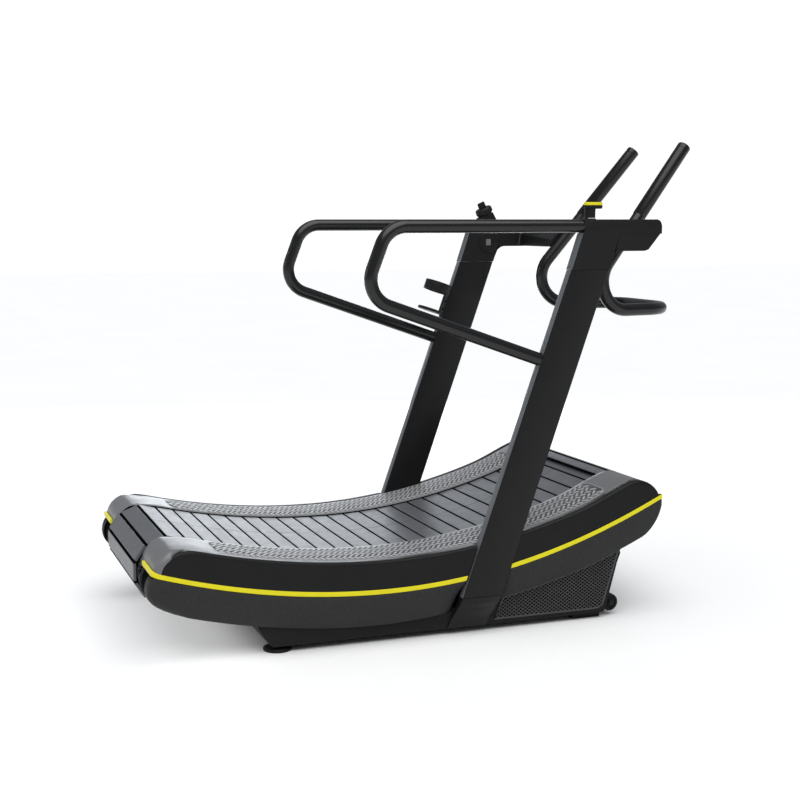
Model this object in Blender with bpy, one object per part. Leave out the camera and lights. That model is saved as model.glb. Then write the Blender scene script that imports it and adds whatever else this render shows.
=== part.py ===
"""Curved manual treadmill, as an assembly of separate parts.

+X is the way the runner faces, +Y is the runner's left, +Z is up.  The origin
is on the floor under the middle of the bounding box.  All lengths in metres.
The shape is laid out from a point a little in front of that, and CENTRE moves
it into place at the end.
"""
import math

import bmesh
import bpy
from mathutils import Matrix, Vector

for old in list(bpy.data.objects):
    bpy.data.objects.remove(old, do_unlink=True)

# ---------------------------------------------------------------- dimensions
CENTRE = 0.00417                 # moves everything so that the bounding box is centred
GAP = 0.0004                     # running and resting gap between touching parts

# Curve of the running surface: two parabolas that meet at its lowest point.
DECK_X, DECK_Z = -0.230, 0.267
DECK_REAR, DECK_FRONT = 0.2193, 0.2551

# Side pods, measured down from the running surface.
STRIP_DROP, STRIP_HEIGHT = 0.0963, 0.0152
POD_DROP = 0.2105                # to the lower edge, at the rear
DROP_WAIST, DROP_FRONT = -0.0100, 0.0085
FRONT_RISE = 0.0104              # the pods stand this much above the belt at the front
REAR_END = (-0.8632, 0.2769, 0.0830, 0.0766)   # x, z and half axes of the rounded rear end
FRONT_END = (0.6300, 0.3660, 0.0912, 0.0912)   # and of the front end
POD_REAR_X = -0.9650

# Widths, from the centre plane.
BELT_HALF = 0.2484
FRAME_IN, FRAME_OUT = 0.2515, 0.2595
RAIL_IN, RAIL_OUT = 0.2535, 0.4290
PANEL_IN, PANEL_OUT = 0.4517, 0.4606
FLANGE_IN = 0.4294               # the upper panels turn in over the edge of the foot rails
UPRIGHT_IN, UPRIGHT_OUT = 0.4295, 0.4658
HEAD_IN, HEAD_OUT = 0.4275, 0.4678
SKIRT_IN, SKIRT_OUT = 0.4145, 0.4205
PANEL_FOOT = 0.4320              # outside of the lower panel at its bottom edge

# Belt and drums.
BELT_THICK = 0.013
SLAT_PITCH = 0.0608
SLAT_GAP = 0.0055
REAR_BELT_R, FRONT_BELT_R = 0.1087, 0.0800
DRUM_CLEAR = 0.002
AXLE_R = 0.0125

# Uprights lean forward: x = LEAN * z + offset.
LEAN = 0.353
UP_REAR, UP_FRONT = -0.0289, 0.1040
UP_LOW, UP_TOP = 0.1245, 1.1410

# Handrails and push bar.
RAIL_Y, RAIL_R = 0.4476, 0.0204
RAIL_Z = 1.2772
HEAD_TOP = 1.2976
ARM_FRONT = 0.6914
ARM_SPLIT = 1.2555
ARM_LOW = 1.1985
PUSH_R, GRIP_R = 0.0212, 0.0228
PUSH_X, PUSH_Z, PUSH_W = 0.7209, 1.2627, 0.2114
PUSH_DX, PUSH_DW = 0.8016, -0.1399        # per metre of height
PUSH_TIP_Z = 1.5465
PUSH_LOW_Z = 0.9952
PUSH_BEND = 0.0965
PUSH_FRONT_X = 0.8990
PUSH_FRONT_W = 0.190
PUSH_FRONT_R = 0.115

DIAL_Y = 0.4376

# Base.
BASE_LOW = 0.0197
BASE_REAR_X, BASE_FRONT_X = -0.585, 0.530

# Brake.
DISC = (0.300, 0.190, 0.098)
DISC_Y = -0.335


# ---------------------------------------------------------------- materials
def paint(name, colour, roughness=0.5, metallic=0.0):
    made = bpy.data.materials.get(name)
    if made is None:
        made = bpy.data.materials.new(name)
        made.use_nodes = True
        shader = made.node_tree.nodes["Principled BSDF"]
        shader.inputs["Base Color"].default_value = (*colour, 1.0)
        shader.inputs["Roughness"].default_value = roughness
        shader.inputs["Metallic"].default_value = metallic
        made.diffuse_color = (*colour, 1.0)
    return made


BLACK = lambda: paint("satin_black_plastic", (0.018, 0.018, 0.020), 0.42)
DARK = lambda: paint("dark_grey_plastic", (0.085, 0.085, 0.088), 0.55)
SILVER = lambda: paint("silver_grey_plastic", (0.56, 0.57, 0.58), 0.45)
YELLOW = lambda: paint("yellow_trim", (0.88, 0.76, 0.02), 0.40)
COATED = lambda: paint("black_powder_coat", (0.015, 0.015, 0.016), 0.38, 0.2)
STEEL = lambda: paint("bright_steel", (0.60, 0.61, 0.62), 0.30, 1.0)
FRAME = lambda: paint("grey_frame_paint", (0.10, 0.10, 0.105), 0.5, 0.3)
SLAT = lambda: paint("slat_rubber", (0.30, 0.305, 0.31), 0.75)
RUBBER = lambda: paint("black_rubber", (0.02, 0.02, 0.02), 0.8)
GRILLE = lambda: paint("black_mesh", (0.03, 0.03, 0.032), 0.5, 0.4)
ALU = lambda: paint("cast_aluminium", (0.45, 0.46, 0.47), 0.4, 1.0)


# ---------------------------------------------------------------- tools
def place(bm, name, mat, origin=(0.0, 0.0, 0.0), smooth=None):
    """Make an object of a bmesh given in world coordinates, with its origin at origin."""
    bmesh.ops.recalc_face_normals(bm, faces=bm.faces)
    bmesh.ops.translate(bm, verts=bm.verts, vec=-Vector(origin))
    mesh = bpy.data.meshes.new(name)
    bm.to_mesh(mesh)
    bm.free()
    obj = bpy.data.objects.new(name, mesh)
    obj.location = origin
    bpy.context.scene.collection.objects.link(obj)
    mesh.materials.append(mat)
    if smooth:
        mesh.shade_smooth()
        mesh.set_sharp_from_angle(angle=math.radians(smooth))
    return obj


def prism(name, outline, low, high, mat, axis="Y", origin=(0, 0, 0), smooth=None):
    """Extrude a closed outline.  Outlines are (x, z) for Y, (x, y) for Z and (y, z) for X."""
    bm = bmesh.new()

    def at(a, b):
        return {"Y": (a, low, b), "Z": (a, b, low), "X": (low, a, b)}[axis]

    ring = [bm.verts.new(at(a, b)) for a, b in outline]
    face = bm.faces.new(ring)
    pulled = bmesh.ops.extrude_face_region(bm, geom=[face])
    shift = {"Y": (0, high - low, 0), "Z": (0, 0, high - low), "X": (high - low, 0, 0)}[axis]
    bmesh.ops.translate(bm, vec=shift, verts=[v for v in pulled["geom"] if isinstance(v, bmesh.types.BMVert)])
    return place(bm, name, mat, origin, smooth)


def both(low, high, side):
    """A span between two distances from the centre plane, on one side of it."""
    return (low, high) if side > 0 else (-high, -low)


def box(name, low, high, mat, origin=(0, 0, 0)):
    return prism(name, [(low[0], low[2]), (high[0], low[2]), (high[0], high[2]), (low[0], high[2])],
                 low[1], high[1], mat, "Y", origin)


def loft(name, rings, mat, closed=False, origin=(0, 0, 0), smooth=None):
    """Join rings of equal length; open lofts are capped at both ends."""
    bm = bmesh.new()
    made = [[bm.verts.new(p) for p in ring] for ring in rings]
    count = len(made)
    for i in range(count if closed else count - 1):
        a, b = made[i], made[(i + 1) % count]
        for j in range(len(a)):
            k = (j + 1) % len(a)
            bm.faces.new((a[j], a[k], b[k], b[j]))
    if not closed:
        bm.faces.new(list(reversed(made[0])))
        bm.faces.new(made[-1])
    return place(bm, name, mat, origin, smooth)


def frame_to(direction):
    """Rotation that carries +Z onto a direction."""
    return Vector((0, 0, 1)).rotation_difference(Vector(direction).normalized()).to_matrix().to_4x4()


def lathe(name, profile, centre, direction, mat, steps=20, origin=None, smooth=35):
    """Spin a closed (radius, height) profile about an axis; a radius of 0 lies on the axis."""
    bm = bmesh.new()
    ring = [bm.verts.new((r, 0, h)) for r, h in profile]
    edges = [bm.edges.new((ring[i], ring[(i + 1) % len(ring)])) for i in range(len(ring))
             if not (profile[i][0] < 1e-9 and profile[(i + 1) % len(ring)][0] < 1e-9)]
    bmesh.ops.spin(bm, geom=ring + edges, cent=(0, 0, 0), axis=(0, 0, 1), dvec=(0, 0, 0),
                   angle=math.tau, steps=steps, use_merge=True)
    bmesh.ops.remove_doubles(bm, verts=bm.verts, dist=1e-6)
    bmesh.ops.dissolve_degenerate(bm, dist=1e-7, edges=bm.edges)
    bmesh.ops.transform(bm, matrix=Matrix.Translation(centre) @ frame_to(direction), verts=bm.verts)
    return place(bm, name, mat, origin or centre, smooth)


def rod(name, start, end, radius, mat, steps=16, origin=None):
    start, end = Vector(start), Vector(end)
    length = (end - start).length
    return lathe(name, [(0, 0), (radius, 0), (radius, length), (0, length)], start, end - start, mat,
                 steps, origin or tuple(start))


def rounded(points, radii, steps=6):
    """A path through corners, each replaced by an arc of its radius."""
    points = [Vector(p) for p in points]
    path = [points[0]]
    for i in range(1, len(points) - 1):
        before, corner, after = points[i - 1], points[i], points[i + 1]
        a, b = (before - corner).normalized(), (after - corner).normalized()
        half = a.angle(b) / 2
        radius = radii[i - 1]
        reach = radius / math.tan(half)
        centre = corner + (a + b).normalized() * (radius / math.sin(half))
        first, last = corner + a * reach - centre, corner + b * reach - centre
        sweep = first.angle(last)
        normal = first.cross(last).normalized()
        for k in range(steps + 1):
            path.append(centre + Matrix.Rotation(sweep * k / steps, 3, normal) @ first)
    path.append(points[-1])
    return path


def tube(name, path, radius, mat, sides_setting=3, origin=(0, 0, 0)):
    """A bent tube: a curve with a round bevel and filled caps."""
    curve = bpy.data.curves.new(name, "CURVE")
    curve.dimensions = "3D"
    curve.bevel_depth = radius
    curve.bevel_resolution = sides_setting
    curve.use_fill_caps = True
    curve.twist_mode = "MINIMUM"
    spline = curve.splines.new("POLY")
    spline.points.add(len(path) - 1)
    for point, p in zip(spline.points, path):
        point.co = (*(Vector(p) - Vector(origin)), 1.0)
    curve.materials.append(mat)
    obj = bpy.data.objects.new(name, curve)
    obj.location = origin
    bpy.context.scene.collection.objects.link(obj)
    return obj


def helper(obj):
    obj.hide_render = True
    obj.display_type = "WIRE"
    return obj


def combine(obj, others, operation="UNION"):
    for other in others:
        made = obj.modifiers.new(operation.lower() + "_" + other.name, "BOOLEAN")
        made.operation = operation
        made.solver = "EXACT"
        made.object = helper(other)
    return obj


def ease(t):
    t = min(1.0, max(0.0, t))
    return t * t * (3 - 2 * t)


# ---------------------------------------------------------------- curves of the body
def deck(x):
    return DECK_Z + (DECK_REAR if x < DECK_X else DECK_FRONT) * (x - DECK_X) ** 2


def slope(x):
    return 2 * (DECK_REAR if x < DECK_X else DECK_FRONT) * (x - DECK_X)


def pod(x):
    return deck(x) + FRONT_RISE * ease((x - 0.43) / 0.16)


def strip(x):
    return deck(x) - STRIP_DROP


def up_rear(z):
    return LEAN * z + UP_REAR


def up_front(z):
    return LEAN * z + UP_FRONT


def spaced(a, b, n):
    return [a + (b - a) * i / n for i in range(n + 1)]


def arc(centre, radius, start, end, n):
    """Points of a circle in the XZ plane; angles in degrees from +X towards +Z."""
    return [(centre[0] + radius * math.cos(math.radians(t)), centre[1] + radius * math.sin(math.radians(t)))
            for t in spaced(start, end, n)]


def end_arc(shape, start, end, n, inset=0.0):
    """The same along the rounded end of a pod, which is an ellipse."""
    cx, cz, rx, rz = shape
    return [(cx + (rx - inset) * math.cos(math.radians(t)), cz + (rz - inset) * math.sin(math.radians(t)))
            for t in spaced(start, end, n)]


REAR_TANGENT = -0.8450           # where the deck curve meets the rear end's arc
FRONT_TANGENT = 0.5945


def top_path(n_deck=14, n_end=5, inset=0.0):
    """The upper outline, rear strip corner to front strip end, moved inwards by inset."""
    path = end_arc(REAR_END, 176, 106, n_end, inset)
    for x in spaced(REAR_TANGENT, FRONT_TANGENT, n_deck)[1:-1]:
        s = slope(x)
        n = math.hypot(1, s)
        path.append((x + inset * s / n, pod(x) - inset / n))
    path += end_arc(FRONT_END, 112, 24, n_end, inset)
    return path


# ---------------------------------------------------------------- slat belt
def tangent_circle(x, radius):
    """Centre of the circle under the deck that touches it at x."""
    s = slope(x)
    n = math.hypot(1, s)
    return (x + s / n * radius, deck(x) - radius / n)


REAR_T, FRONT_T = -0.8363, 0.5790
REAR_C = tangent_circle(REAR_T, REAR_BELT_R)
FRONT_C = tangent_circle(FRONT_T, FRONT_BELT_R)


def belt_loop():
    """Outer path of the belt as closely spaced points: top run, front drum, return run, rear drum."""
    points = [(x, deck(x)) for x in spaced(REAR_T, FRONT_T, 160)]
    dx, dz = FRONT_C[0] - REAR_C[0], FRONT_C[1] - REAR_C[1]
    dist = math.hypot(dx, dz)
    base = math.degrees(math.atan2(dz, dx))
    lean = math.degrees(math.asin((REAR_BELT_R - FRONT_BELT_R) / dist))
    under = base - 90 + lean
    top_front = 90 + math.degrees(math.atan(slope(FRONT_T)))
    top_rear = 90 + math.degrees(math.atan(slope(REAR_T)))
    points += arc(FRONT_C, FRONT_BELT_R, top_front, under, 50)[1:]
    start = points[-1]
    rear_arc = arc(REAR_C, REAR_BELT_R, under + 360 if under < 0 else under, top_rear, 60)
    for t in spaced(0, 1, 120)[1:]:
        points.append((start[0] + (rear_arc[0][0] - start[0]) * t, start[1] + (rear_arc[0][1] - start[1]) * t))
    points += rear_arc[1:-1]
    return points


def walk(points):
    """Cumulative length round a closed path, and a function from length to (point, inward normal)."""
    total = [0.0]
    count = len(points)
    for i in range(count):
        a, b = points[i], points[(i + 1) % count]
        total.append(total[-1] + math.hypot(b[0] - a[0], b[1] - a[1]))

    def at(s):
        s %= total[-1]
        lo, hi = 0, count
        while hi - lo > 1:
            mid = (lo + hi) // 2
            if total[mid] <= s:
                lo = mid
            else:
                hi = mid
        a, b = points[lo], points[(lo + 1) % count]
        span = total[lo + 1] - total[lo]
        t = (s - total[lo]) / span
        tx, tz = (b[0] - a[0]) / span, (b[1] - a[1]) / span
        return (a[0] + (b[0] - a[0]) * t, a[1] + (b[1] - a[1]) * t), (tz, -tx)

    return total[-1], at


def build_belt():
    length, at = walk(belt_loop())
    slats = round(length / SLAT_PITCH)
    pitch = length / slats
    half = SLAT_GAP / 2
    outer, inner = [], []
    for i in range(slats):
        s = i * pitch
        for offset, depth in ((-half, 0.0), (-half, 0.008), (half, 0.008), (half, 0.0)):
            (x, z), (nx, nz) = at(s + offset)
            outer.append((x + nx * depth, z + nz * depth))
        (x, z), (nx, nz) = at(s + pitch / 2)
        outer.append((x, z))
        for offset in (0.0, pitch / 2):
            (x, z), (nx, nz) = at(s + offset)
            inner.append((x + nx * BELT_THICK, z + nz * BELT_THICK))
    bm = bmesh.new()
    sides = []
    for y in (-BELT_HALF, BELT_HALF):
        sides.append(([bm.verts.new((x, y, z)) for x, z in outer], [bm.verts.new((x, y, z)) for x, z in inner]))
    for which in (0, 1):
        a, b = sides[0][which], sides[1][which]
        for j in range(len(a)):
            k = (j + 1) % len(a)
            bm.faces.new((a[j], a[k], b[k], b[j]))
    for out, inn in sides:
        for i in range(slats):
            k = (i + 1) % slats
            e, f = out[5 * i:5 * i + 5], inn[2 * i:2 * i + 2]
            g, h = out[5 * k:5 * k + 2], inn[2 * k]
            bm.faces.new((e[1], e[2], f[0]))
            bm.faces.new((e[2], e[3], e[4], f[1], f[0]))
            bm.faces.new((e[4], g[0], g[1], h, f[1]))
    return place(bm, "slat_belt", SLAT())


build_belt()


# ---------------------------------------------------------------- drums, axles, curved side frames
def drum(name, centre, radius):
    r = radius - BELT_THICK - DRUM_CLEAR
    half = BELT_HALF - 0.003
    bore = AXLE_R + 0.0006
    hub, wall, web = 0.022, 0.005, 0.005
    profile = [(bore, -half), (hub, -half), (hub, -web), (r - wall, -web), (r - wall, -half), (r, -half), (r, half),
               (r - wall, half), (r - wall, web), (hub, web), (hub, half), (bore, half)]
    return lathe(name, profile, (centre[0], 0, centre[1]), (0, 1, 0), STEEL(), 20)


drum("rear_drum", REAR_C, REAR_BELT_R)
drum("front_drum", FRONT_C, FRONT_BELT_R)
rod("rear_axle", (REAR_C[0], -0.285, REAR_C[1]), (REAR_C[0], 0.285, REAR_C[1]), AXLE_R, STEEL())
rod("front_axle", (FRONT_C[0], -0.345, FRONT_C[1]), (FRONT_C[0], 0.285, FRONT_C[1]), AXLE_R, STEEL())


def side_frame(name, side):
    """Steel side plate with the row of bearings that carries the slats; both drum axles pass through it."""
    low, high = both(FRAME_IN, FRAME_OUT, side)
    top = [(x, deck(x) - 0.020) for x in spaced(-0.815, 0.555, 16)]
    front = arc(FRONT_C, 0.050, 60, -90, 5)
    belly = [(0.500, 0.235), (0.420, 0.0800), (-0.480, 0.0800), (-0.560, 0.130)]
    rear = arc(REAR_C, 0.068, -90, -235, 6)
    plate = prism(name, top + front + belly + rear, low, high, FRAME())
    parts = []
    tip = both(0.2350, FRAME_IN + 0.002, side)
    for i, x in enumerate(spaced(-0.760, 0.500, 13)):
        s = slope(x)
        n = math.hypot(1, s)
        d = BELT_THICK + 0.001 + 0.011
        c = (x + s / n * d, deck(x) - d / n)
        parts.append((c, tip))
    bm = bmesh.new()
    for (cx, cz), (a, b) in parts:
        made = bmesh.ops.create_cone(bm, cap_ends=True, segments=8, radius1=0.011, radius2=0.011, depth=b - a)
        bmesh.ops.transform(bm, verts=made["verts"],
                            matrix=Matrix.Translation((cx, (a + b) / 2, cz)) @ Matrix.Rotation(math.pi / 2, 4, "X"))
    bearings = place(bm, name + "_bearing_row", STEEL())
    combine(plate, [bearings])
    holes = [rod(name + "_hole_%d" % i, (c[0], low - 0.01, c[1]), (c[0], high + 0.01, c[1]), AXLE_R + 0.0006, STEEL())
             for i, c in enumerate((REAR_C, FRONT_C))]
    combine(plate, holes, "DIFFERENCE")
    return plate


side_frame("side_frame_left", 1)
side_frame("side_frame_right", -1)


# ---------------------------------------------------------------- brake inside the right-hand pod
def pulley(name, centre, y, radius, width, bore, mat):
    h = width / 2
    profile = [(bore, -h), (radius + 0.004, -h), (radius, -h + 0.003), (radius, h - 0.003), (radius + 0.004, h),
               (bore, h)]
    return lathe(name, profile, (centre[0], y, centre[1]), (0, 1, 0), mat, 18)


PULLEY_Y = -0.300
pulley("front_pulley", FRONT_C, PULLEY_Y, 0.052, 0.022, AXLE_R + 0.0006, ALU())

DISC_C = (DISC[0], DISC[1])
hub = [(0.0086, -0.005), (DISC[2], -0.005), (DISC[2], 0.005), (0.022, 0.005), (0.022, 0.0235), (0.026, 0.0240),
       (0.026, 0.0465), (0.0086, 0.0465)]
lathe("brake_disc", hub, (DISC_C[0], DISC_Y, DISC_C[1]), (0, 1, 0), STEEL(), 24)
rod("brake_axle", (DISC_C[0], -0.352, DISC_C[1]), (DISC_C[0], -FRAME_OUT - GAP, DISC_C[1]), 0.008, STEEL(), 12)


def drive_belt():
    """Flat ribbed belt round the front pulley and the small pulley on the disc's hub."""
    big, small = 0.0526, 0.0266
    a, b = FRONT_C, DISC_C
    dx, dz = b[0] - a[0], b[1] - a[1]
    base = math.degrees(math.atan2(dz, dx))
    turn = math.degrees(math.acos((big - small) / math.hypot(dx, dz)))

    def ring(extra):
        return (arc(a, big + extra, base + turn, base + 360 - turn, 14)
                + arc(b, small + extra, base - turn, base + turn, 10))

    rings = []
    for (x1, z1), (x2, z2) in zip(ring(0.0), ring(0.0028)):
        rings.append([(x1, PULLEY_Y - 0.0075, z1), (x1, PULLEY_Y + 0.0075, z1),
                      (x2, PULLEY_Y + 0.0075, z2), (x2, PULLEY_Y - 0.0075, z2)])
    return loft("drive_belt", rings, RUBBER(), closed=True)


drive_belt()

YOKE_PIVOT = (0.158, 0.112)


def magnet_yoke():
    """U-shaped holder whose two arms straddle the rim of the disc."""
    y0, y1, t = DISC_Y - 0.0125, DISC_Y + 0.0125, 0.006
    plan = [(0.140, y0 - t), (0.216, y0 - t), (0.216, y0), (0.180, y0), (0.180, y1), (0.216, y1), (0.216, y1 + t),
            (0.140, y1 + t)]
    body = prism("magnet_yoke", plan, 0.150, 0.232, ALU(), "Z", (YOKE_PIVOT[0], DISC_Y, YOKE_PIVOT[1]))
    leg = box("magnet_yoke_leg", (0.1505, y0 - t + 0.0005, 0.099), (0.1655, y1 + t - 0.0005, 0.16), ALU())
    bore = rod("magnet_yoke_bore", (YOKE_PIVOT[0], -0.40, YOKE_PIVOT[1]), (YOKE_PIVOT[0], -0.27, YOKE_PIVOT[1]),
               0.0046, ALU(), 12)
    combine(body, [leg])
    combine(body, [bore], "DIFFERENCE")
    return body


magnet_yoke()
rod("yoke_pivot_pin", (YOKE_PIVOT[0], -0.366, YOKE_PIVOT[1]), (YOKE_PIVOT[0], -FRAME_OUT - GAP, YOKE_PIVOT[1]), 0.004,
    STEEL(), 12)


# ---------------------------------------------------------------- foot rails and front cover
def foot_rail(name, side):
    outer, inner = top_path(), top_path(inset=0.009)
    rings = [[(x1, side * RAIL_IN, z1), (x1, side * RAIL_OUT, z1), (x2, side * RAIL_OUT, z2), (x2, side * RAIL_IN, z2)]
             for (x1, z1), (x2, z2) in zip(outer, inner)]
    return loft(name, rings, SILVER(), smooth=40)


foot_rail("foot_rail_left", 1)
foot_rail("foot_rail_right", -1)


def front_cover():
    """Cap over the front drum, between the foot rails and down to the chin of the housing."""
    out = end_arc(FRONT_END, 112, -88, 14)
    inn = end_arc(FRONT_END, 112, -88, 14, 0.005)
    width = RAIL_IN - GAP
    rings = [[(x1, -width, z1), (x1, width, z1), (x2, width, z2), (x2, -width, z2)]
             for (x1, z1), (x2, z2) in zip(out, inn)]
    return loft("front_cover", rings, SILVER(), smooth=40)


front_cover()


# ---------------------------------------------------------------- side panels and yellow strips
END_GAP = 0.008                  # slot behind the upright
SEAM = 0.002                     # seam in front of it


def rear_limit(z):
    return up_rear(z) - END_GAP


def front_limit(z):
    return up_front(z) + SEAM


def meet(limit, height):
    """x where a height curve crosses a slanted limit."""
    x = 0.1
    for _ in range(30):
        x = limit(height(x))
    return x


def upper_panel(name, side, rear):
    """Outer panel above the yellow strip; its top edge turns in and meets the foot rail."""
    low, high = both(PANEL_IN, PANEL_OUT, side)
    bottom = lambda x: strip(x) + STRIP_HEIGHT / 2 + GAP
    if rear:
        x_top, x_low = meet(rear_limit, pod), meet(rear_limit, bottom)
        top = end_arc(REAR_END, 167, 106, 6) + [(x, pod(x)) for x in spaced(REAR_TANGENT, x_top, 12)[1:]]
        under = [(x, bottom(x)) for x in spaced(x_low, -0.9410, 12)]
        keep = lambda x: x < x_top - 0.004
    else:
        x_top, x_low = meet(front_limit, pod), meet(front_limit, bottom)
        top = [(x, pod(x)) for x in spaced(x_top, FRONT_TANGENT, 7)[:-1]] + end_arc(FRONT_END, 112, 28, 6)
        under = [(x, bottom(x)) for x in spaced(0.7130, x_low, 8)]
        keep = lambda x: x > x_top + 0.004
    panel = prism(name, top + under, low, high, BLACK())
    pairs = [(o, i) for o, i in zip(top_path(inset=0.0004), top_path(inset=0.0084)) if keep(o[0]) and -0.9440 < o[0] < 0.7080]
    edge = (x_top - 0.0045, pod(x_top) - 0.0004) if rear else (x_top + 0.0045, pod(x_top) - 0.0002)
    edge = (edge, (edge[0], edge[1] - 0.0080))
    pairs = pairs + [edge] if rear else [edge] + pairs
    rings = [[(x1, side * FLANGE_IN, z1), (x1, side * (PANEL_OUT - 0.003), z1), (x2, side * (PANEL_OUT - 0.003), z2),
              (x2, side * FLANGE_IN, z2)] for (x1, z1), (x2, z2) in pairs]
    return combine(panel, [loft(name + "_flange", rings, BLACK())])


def trim_strip(name, side, rear):
    """Yellow strip between the panels; at the rear it turns the corner of the pod."""
    low, high = both(PANEL_IN, PANEL_OUT + 0.0012, side)
    h = STRIP_HEIGHT / 2 - GAP
    limit = rear_limit if rear else front_limit
    above, below = (lambda x: strip(x) + h), (lambda x: strip(x) - h)
    far, n = (-0.9500, 12) if rear else (0.7200, 8)
    path = ([(x, above(x)) for x in spaced(meet(limit, above), far, n)]
            + [(x, below(x)) for x in spaced(far, meet(limit, below), n)])
    made = prism(name, path if rear else list(reversed(path)), low, high, YELLOW())
    if rear:
        z = strip(-0.945)
        a, b = both(0.306, PANEL_OUT + 0.0006, side)
        wrap = prism(name + "_wrap", [(-0.9560, z - h + 0.0035), (-0.9465, z - h - 0.0003), (-0.9465, z + h - 0.0005),
                                      (-0.9560, z + h + 0.0035)], a, b, YELLOW())
        combine(made, [wrap])
    return made


def pod_bottom(x):
    """Lower edge of the pods: below the deck by nearly the same amount all along, and turned up at both ends."""
    z = deck(x) - POD_DROP - DROP_WAIST * ease((x + 0.35) / 0.55) - DROP_FRONT * ease((x - 0.20) / 0.40)
    if x < -0.8720:
        z += 0.058 * (1 - math.sqrt(max(0.0, 1 - ((-0.8720 - x) / 0.0935) ** 2)))
    if x > 0.6640:
        z += 0.092 * (1 - math.sqrt(max(0.0, 1 - ((x - 0.6640) / 0.0590) ** 2)))
    return z


def lower_panel(name, side, rear):
    """Outer panel below the strip.  It leans in towards the floor; the rear one also rounds in before the upright."""
    top = lambda x: strip(x) - STRIP_HEIGHT / 2 - GAP - 0.0006
    limit = rear_limit if rear else front_limit
    rows, thick = 4, 0.006

    def ring(x_top, x_low, turn):
        out, inn = [], []
        for k in range(rows):
            t = k / (rows - 1)
            zt, zb = top(x_top), pod_bottom(x_low)
            if x_top < -0.944:
                zt = top(-0.944) + (x_top + 0.944) * 1.30
            y = PANEL_OUT - (PANEL_OUT - PANEL_FOOT) * t ** 1.7 - turn * ease(t / 0.5)
            x, z = x_top + (x_low - x_top) * t, zt + (zb - zt) * t
            out.append((x, side * y, z))
            inn.append((x, side * (y - thick), z))
        return out + list(reversed(inn))

    def slanted(d):
        """A ring parallel to the edge of the upright and d away from it."""
        sign = -1 if rear else 1
        moved = lambda z: limit(z) + sign * d
        return ring(meet(moved, top), meet(moved, pod_bottom), 0.030 * ease(1 - d / 0.075) if rear else 0.0)

    if rear:
        rings = [ring(x, x, 0.0) for x in [POD_REAR_X, -0.960, -0.947, -0.930, -0.902, -0.870] + spaced(-0.80, -0.17, 5)]
        rings += [slanted(d) for d in (0.115, 0.070, 0.050, 0.032, 0.014, 0.0)]
    else:
        rings = [slanted(0.0)] + [ring(x, x, 0.0) for x in spaced(0.22, 0.60, 5) + [0.640, 0.670, 0.695, 0.712, 0.7210]]
    made = loft(name, rings, DARK(), smooth=40)
    if rear:
        outer = [(-0.9485, 0.2700), (-0.9642, 0.2430), (-0.9650, 0.2290), (-0.9595, 0.2060), (-0.9390, 0.1800),
                 (-0.9060, 0.1605)]
        inner = [(-0.9060, 0.1665), (-0.9350, 0.1855), (-0.9540, 0.2095), (-0.9590, 0.2300), (-0.9583, 0.2415),
                 (-0.9430, 0.2695)]
        section = outer + inner
        edge = lambda z: PANEL_OUT - 0.0030 - (PANEL_OUT - PANEL_FOOT) * (max(0.0, 0.2722 - z) / 0.1120) ** 1.7
        wall = loft(name + "_rear_wall", [[(x, side * edge(z), z) for x, z in section],
                                          [(x, side * 0.3060, z) for x, z in section]], DARK())
        combine(made, [wall])
    return made


for word, side in (("left", 1), ("right", -1)):
    for end_word, rear in (("rear", True), ("front", False)):
        upper_panel("upper_panel_%s_%s" % (word, end_word), side, rear)
        trim_strip("trim_strip_%s_%s" % (word, end_word), side, rear)
        lower_panel("lower_panel_%s_%s" % (word, end_word), side, rear)


# ---------------------------------------------------------------- base
def ladder(name, xs, ys, filled, low, high, mat):
    """Welded frame seen from above: a grid of filled and empty cells pulled up to one height."""
    bm = bmesh.new()
    points = {}

    def corner(i, j, z):
        if (i, j, z) not in points:
            points[i, j, z] = bm.verts.new((xs[i], ys[j], (low, high)[z]))
        return points[i, j, z]

    for i, j in filled:
        for z in (0, 1):
            quad = [corner(i, j, z), corner(i + 1, j, z), corner(i + 1, j + 1, z), corner(i, j + 1, z)]
            bm.faces.new(quad if z else list(reversed(quad)))
        for (di, dj), (a, b) in {(-1, 0): ((0, 0), (0, 1)), (1, 0): ((1, 1), (1, 0)),
                                 (0, -1): ((1, 0), (0, 0)), (0, 1): ((0, 1), (1, 1))}.items():
            if (i + di, j + dj) not in filled:
                p, q = (i + a[0], j + a[1]), (i + b[0], j + b[1])
                bm.faces.new([corner(*p, 0), corner(*q, 0), corner(*q, 1), corner(*p, 1)])
    return place(bm, name, mat)


TRAY = 0.003
WHEEL_X, WHEEL_Z = 0.5670, 0.0440
FLOOR_TOP = BASE_LOW + TRAY
rows_x = [-0.580, -0.525, -0.002, 0.115, 0.440, 0.500]
rows_y = [-0.4135, -0.300, -0.245, 0.245, 0.300, 0.4135]
cells = {(i, j) for i in range(5) for j in (1, 3)} | {(i, 2) for i in (0, 2, 4)} | {(i, j) for i in (0, 2) for j in (0, 4)}
base = ladder("base_frame", rows_x, rows_y, cells, FLOOR_TOP + GAP, 0.0795, FRAME())
WALL = 0.004
hollow = ladder("base_frame_hollow", [-0.576, -0.529, 0.002, 0.111, 0.444, 0.496],
                [-0.4095, -0.296, -0.249, 0.249, 0.296, 0.4095], cells, BASE_LOW, 0.0795 - WALL, FRAME())
combine(base, [hollow], "DIFFERENCE")
FOOT_X, FOOT_Y, FOOT_STEM = -0.5610, 0.3780, 0.0060
combine(base, [rod("foot_hole_%d" % side, (FOOT_X, side * FOOT_Y, 0.0), (FOOT_X, side * FOOT_Y, 0.1), FOOT_STEM + 0.0006,
                   FRAME(), 12) for side in (1, -1)], "DIFFERENCE")


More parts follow.
